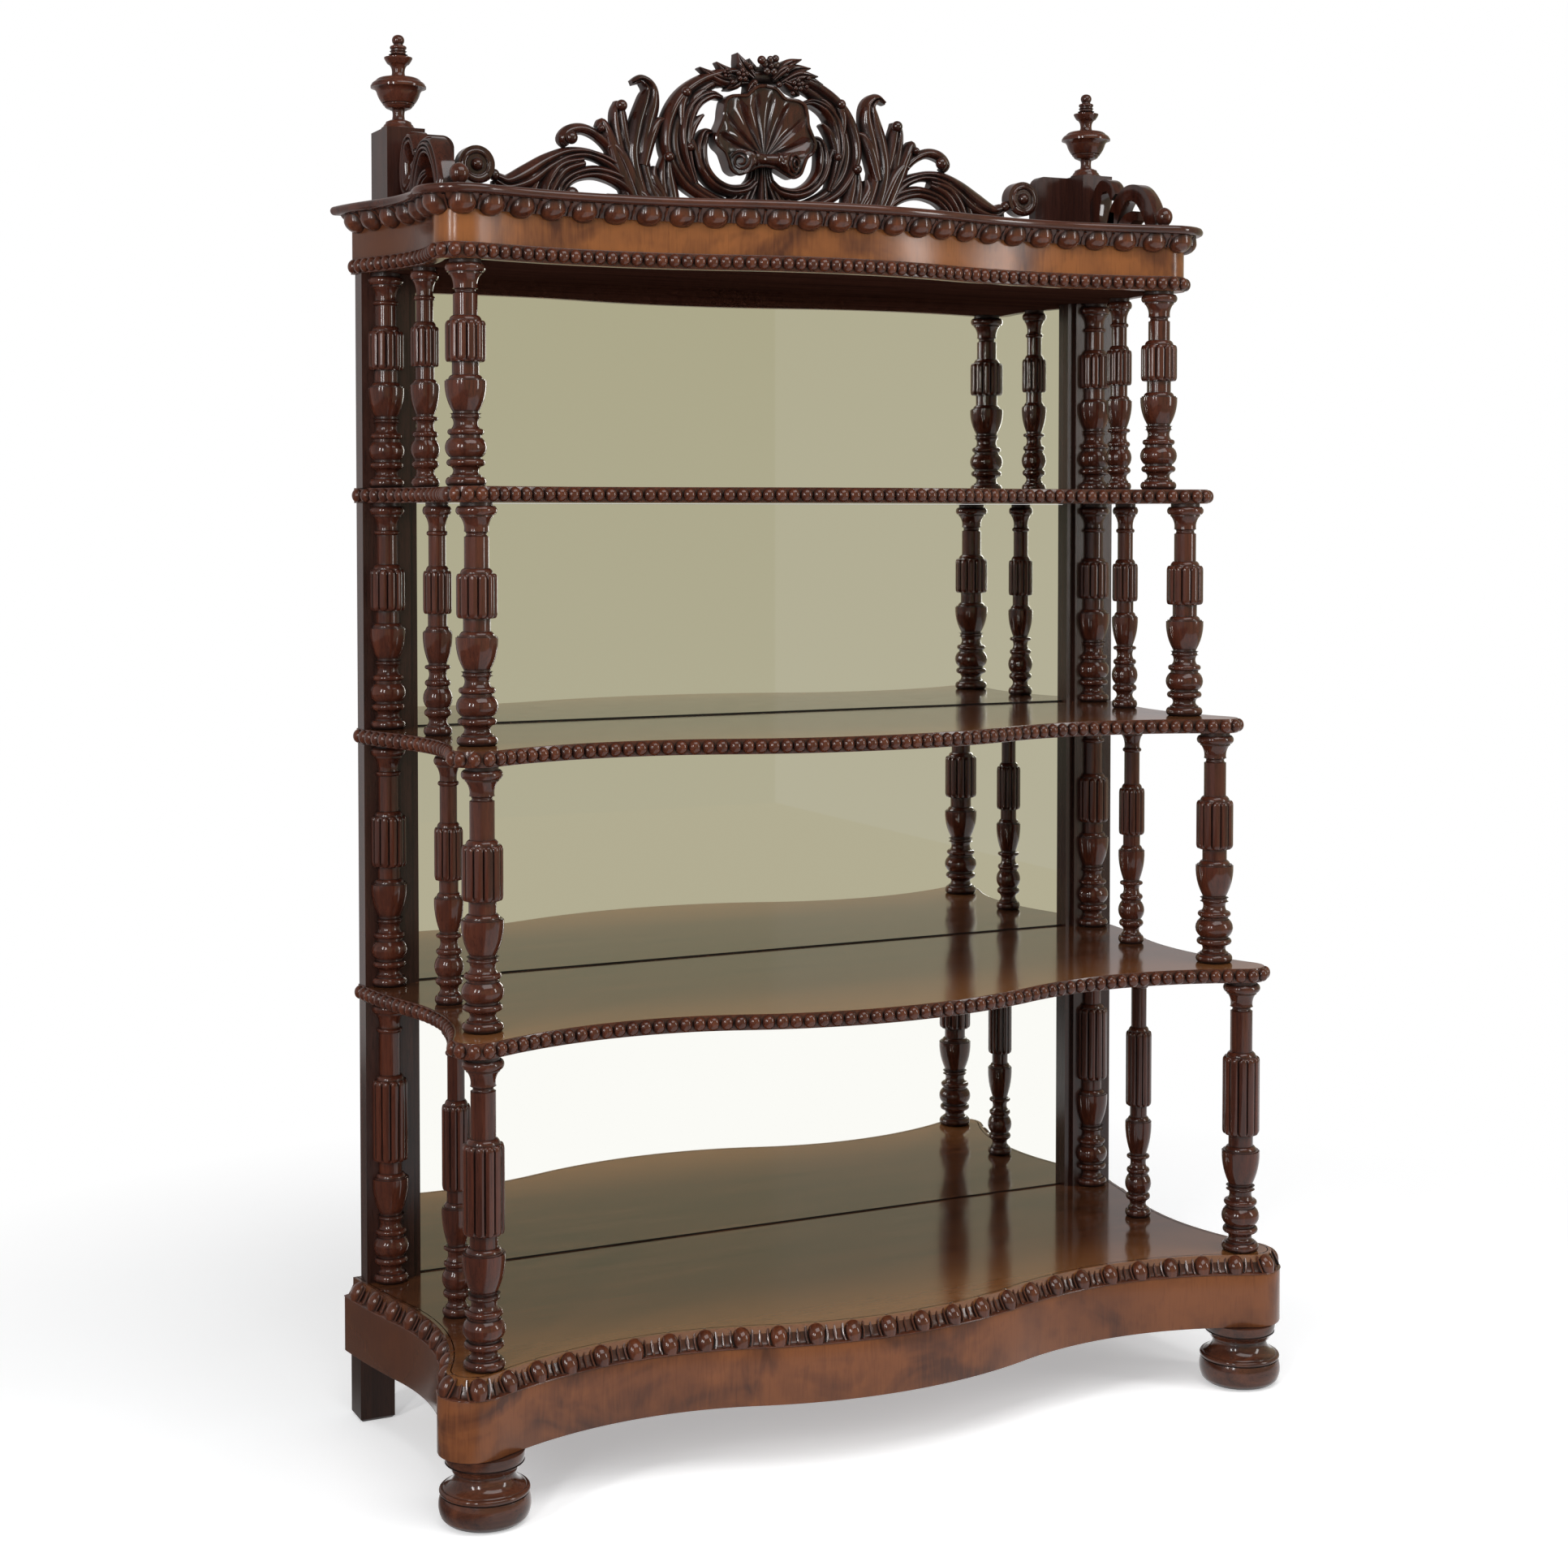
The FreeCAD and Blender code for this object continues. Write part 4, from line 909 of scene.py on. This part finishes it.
# the rolled hinge, a ruffled scroll at each end of it, and the fan of leaves below
roll = [(-22, 12.5), (-18, 12.5), (-15, 10.0), (0, 8.0), (15, 10.0), (18, 12.5), (22, 12.5)]
work.skin([[middle_place(u, 104 + radius * math.cos(angle), 30 + radius * math.sin(angle))
            for angle in circle(24)] for u, radius in roll])
for sign in (-1, 1):
    place = frontal(sign)
    rows = []
    for step in range(9):
        share = step / 8
        turn = share * math.radians(58)
        side = Vector((-math.sin(turn), 0, math.cos(turn)))
        middle = Vector((18 + 28 * share, 103 - 5 * share, 29 + 5 * share))
        radius = 9 + 10 * share ** 0.8
        rows.append([place(*(middle + (side * math.sin(angle) + Vector((0, math.cos(angle), 0)))
                             * (radius * (1 + 0.055 * math.sin(7 * angle + share * 2.4)))))
                     for angle in circle(56)])
    work.skin(rows)
    normal = Vector((math.cos(turn), 0, math.sin(turn)))
    spiral = []
    for step in range(41):
        share = step / 40
        angle = share * 3.6 * math.pi - 1.2
        reach = radius * (0.86 - share * 0.66)
        spiral.append(place(*(middle + normal * (1 + share * 3) + side * (reach * math.sin(angle))
                              + Vector((0, reach * math.cos(angle), 0)))))
    cord(work, spiral, [(2.6 - step / 40) * mm for step in range(41)])
for head_u, foot_u, wide, lift in ((-14, -96, 15, 6), (-9, -50, 14, 10), (0, 0, 15, 14), (9, 50, 14, 10),
                                   (14, 96, 15, 6)):
    path = ((head_u, 98, 4), (head_u * 1.4, 70, 7), (head_u * 1.4 + foot_u * 0.28, 40, 10),
            (foot_u * 0.8, 10, wide), (foot_u, 0, wide))
    strand(work, path, middle_place, 2, lift, 12, 0.0)

# the garland over it: pointed leaves, a rosebud, open flowers and berries
leaves = [
    ((-26, 224), (-109, 241), 9, 18), ((-30, 230), (-79, 252), 9, 14), ((-18, 232), (-46, 268), 11, 20),
    ((-40, 232), (-64, 210), 8, 22), ((-20, 226), (-30, 208), 7, 26), ((-8, 236), (-22, 262), 8, 13),
    ((4, 236), (28, 268), 10, 13), ((20, 236), (66, 266), 8, 20), ((28, 232), (84, 254), 9, 16),
    ((30, 226), (94, 241), 9, 22), ((34, 228), (60, 208), 8, 24), ((14, 230), (52, 254), 7, 26),
    ((56, 228), (106, 230), 8, 16), ((-52, 226), (-98, 226), 8, 14),
]
for (u0, v0), (u1, v1), half, lift in leaves:
    middle = ((u0 + u1) / 2 - (v1 - v0) * 0.1, (v0 + v1) / 2 + (u1 - u0) * 0.1, half)
    strand(work, ((u0, v0, half * 0.5), middle, (u1, v1, 1)), middle_place, 2, lift, 9, 0.0)
bough = ((-92, 224, 6), (-40, 234, 11), (0, 238, 13), (40, 234, 11), (92, 224, 6))
strand(work, bough, middle_place, 1, 10, 8)
for u, v, size, lift in ((-42, 232, 7.0, 32), (54, 224, 7.0, 32), (8, 250, 10.0, 28), (-66, 234, 5.0, 27)):
    for angle in circle(5):
        angle += math.pi / 10
        ball(work, middle_place(u + size * math.cos(angle), v + size * math.sin(angle), lift),
             (size * 0.62 * mm, 3.5 * mm, size * 0.62 * mm), 8, 12)
    ball(work, middle_place(u, v, lift + 2), (size * 0.5 * mm, 4.5 * mm, size * 0.5 * mm), 8, 12)
for u, v, radius in ((-20, 222, 5), (22, 222, 5), (-58, 220, 4), (36, 246, 5), (-8, 258, 7), (16, 262, 6),
                     (74, 236, 4), (-28, 246, 5), (70, 222, 4), (46, 210, 4)):
    ball(work, middle_place(u, v, 29), (radius * mm, radius * mm, radius * mm), 8, 12)
work.piece("crest_shell_carved", crest_finish, "crest_shell_centre")


# ---- Room, lights and camera ----
# A white floor that takes the shadow, plain walls that only polish and mirrors see, and soft lamps.
def stage_sheet(name, corners, finish):
    mesh = bpy.data.meshes.new(name)
    mesh.from_pydata(corners, [], [tuple(range(len(corners)))])
    mesh.materials.append(finish)
    sheet = bpy.data.objects.new(name, mesh)
    bpy.context.scene.collection.objects.link(sheet)
    sheet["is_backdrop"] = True
    return sheet


def ray_kind(finish, kind):
    return Wire(finish, finish.node("ShaderNodeLightPath").socket.node.outputs[kind])


def glow(finish, colour):
    return finish.node("ShaderNodeEmission", None, colour, 1.0)


# white paper far out, shadow close by; polish sees a white sheet ahead and, left of the piece, floor darkened
# by painted shade
pure_white = (1.0, 1.0, 1.0)
finish = Finish("floor_white")
apart = finish.node("ShaderNodeVectorMath", {"operation": "LENGTH"}, finish.place(), out=1)
lit = finish.node("ShaderNodeBsdfDiffuse", None, Color=(0.92, 0.92, 0.92))
close_by = finish.node("ShaderNodeAddShader", None, lit, glow(finish, (0.37, 0.375, 0.38)))
far_out = glow(finish, pure_white)
seen = finish.node("ShaderNodeMixShader", None, finish.between(apart, 1.0, 1.9), close_by, far_out)
sheet = finish.blend(finish.between(finish.coordinate("Y"), -2.6, -2.9), pure_white, (0.46, 0.43, 0.31))
# painted shade: for glossy rays the floor left of the piece is dark, for the floor in shadow there
sheet = finish.blend(finish.between(finish.coordinate("X"), -0.62, -0.72), sheet, (0.14, 0.12, 0.11))
shader = finish.node("ShaderNodeMixShader", None, ray_kind(finish, "Is Camera Ray"), lit, seen)
shader = finish.node("ShaderNodeMixShader", None, ray_kind(finish, "Is Glossy Ray"), shader,
                     glow(finish, sheet))
finish.node("ShaderNodeOutputMaterial", None, shader)
floor_reach = 12
stage_sheet("floor", [(x * floor_reach, y * floor_reach, 0) for x, y in ((-1, -1), (1, -1), (1, 1), (-1, 1))],
            finish.material)


def wall_paint(name, foot, head):
    """Plain paint that glows, from one colour at the skirting to another higher up."""
    finish = Finish(name)
    tone = finish.ramp(finish.coordinate("Z") * 0.3, (0.0, foot), (0.9, head))
    finish.node("ShaderNodeOutputMaterial", None, glow(finish, tone))
    return finish.material


olive = wall_paint("wall_olive", (0.45, 0.425, 0.31), (0.42, 0.395, 0.265))
pale = wall_paint("wall_pale", (0.475, 0.45, 0.34), (0.445, 0.42, 0.295))
grey = wall_paint("wall_grey", (0.55, 0.51, 0.50), (0.50, 0.46, 0.45))
dim = wall_paint("ceiling_dim", (0.22, 0.21, 0.18), (0.22, 0.21, 0.18))
(left_x, right_x), (front_y, rear_y), room_top = (-4.4, 3.32), (-6.6, 2.6), 4.6
corners = [(left_x, front_y), (right_x, front_y), (right_x, rear_y), (left_x, rear_y)]
walls = []
for index, (name, paint) in enumerate((("front", olive), ("right", pale), ("back", grey), ("left", grey))):
    (x0, y0), (x1, y1) = corners[index], corners[(index + 1) % 4]
    sheet = [(x0, y0, 0), (x1, y1, 0), (x1, y1, room_top), (x0, y0, room_top)]
    walls.append(stage_sheet("wall_" + name, sheet, paint))
walls.append(stage_sheet("ceiling", [(x, y, room_top) for x, y in corners], dim))
for wall in walls:
    wall.visible_camera = wall.visible_diffuse = wall.visible_shadow = False

world = bpy.data.worlds.new("plain_light")
bpy.context.scene.world = world
world.use_nodes = True
finish = Finish("world", world.node_tree)
plain = finish.node("ShaderNodeBackground", None, (0.34, 0.34, 0.34), 1.0)
white = finish.node("ShaderNodeBackground", None, pure_white, 1.0)
direct = finish.node("ShaderNodeMath", {"operation": "MAXIMUM"}, ray_kind(finish, "Is Camera Ray"),
                     ray_kind(finish, "Is Transmission Ray"))
finish.node("ShaderNodeOutputWorld", None, finish.node("ShaderNodeMixShader", None, direct, plain, white))


def lamp(name, place, target, size, power):
    light = bpy.data.lights.new(name, "AREA")
    light.shape = "RECTANGLE"
    light.size, light.size_y = size
    light.energy = power
    stand = bpy.data.objects.new(name, light)
    stand.location = place
    stand.rotation_euler = (Vector(target) - Vector(place)).to_track_quat("-Z", "Y").to_euler()
    bpy.context.scene.collection.objects.link(stand)


lamp("left_window", (-3.9, -1.8, 2.3), (0, 0, 1.0), (0.32, 1.6), 42)
lamp("second_window", (-3.2, -3.1, 2.3), (0, 0, 1.0), (0.32, 1.6), 42)
lamp("overhead", (0.3, -2.0, 4.2), (0, 0, 0.9), (3.4, 2.2), 80)
lamp("right_window", (3.0, -2.6, 1.9), (0, 0, 1.0), (0.6, 2.0), 38)

camera = bpy.data.cameras.new("camera")
camera.sensor_width = 36
camera.lens = 57.34
camera.shift_y = -0.115
camera.clip_end = 60
view = bpy.data.objects.new("camera", camera)
view.location = (-1.6915, -3.3347, 1.3415)
view.rotation_euler = (math.radians(90 - 2.041), 0, math.radians(-25.892))
bpy.context.scene.collection.objects.link(view)
bpy.context.scene.camera = view
bpy.context.scene.view_settings.view_transform = "Standard"

low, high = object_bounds()
{"cad": [list(cad_low), list(cad_high)], "visual": [list(low), list(high)]}
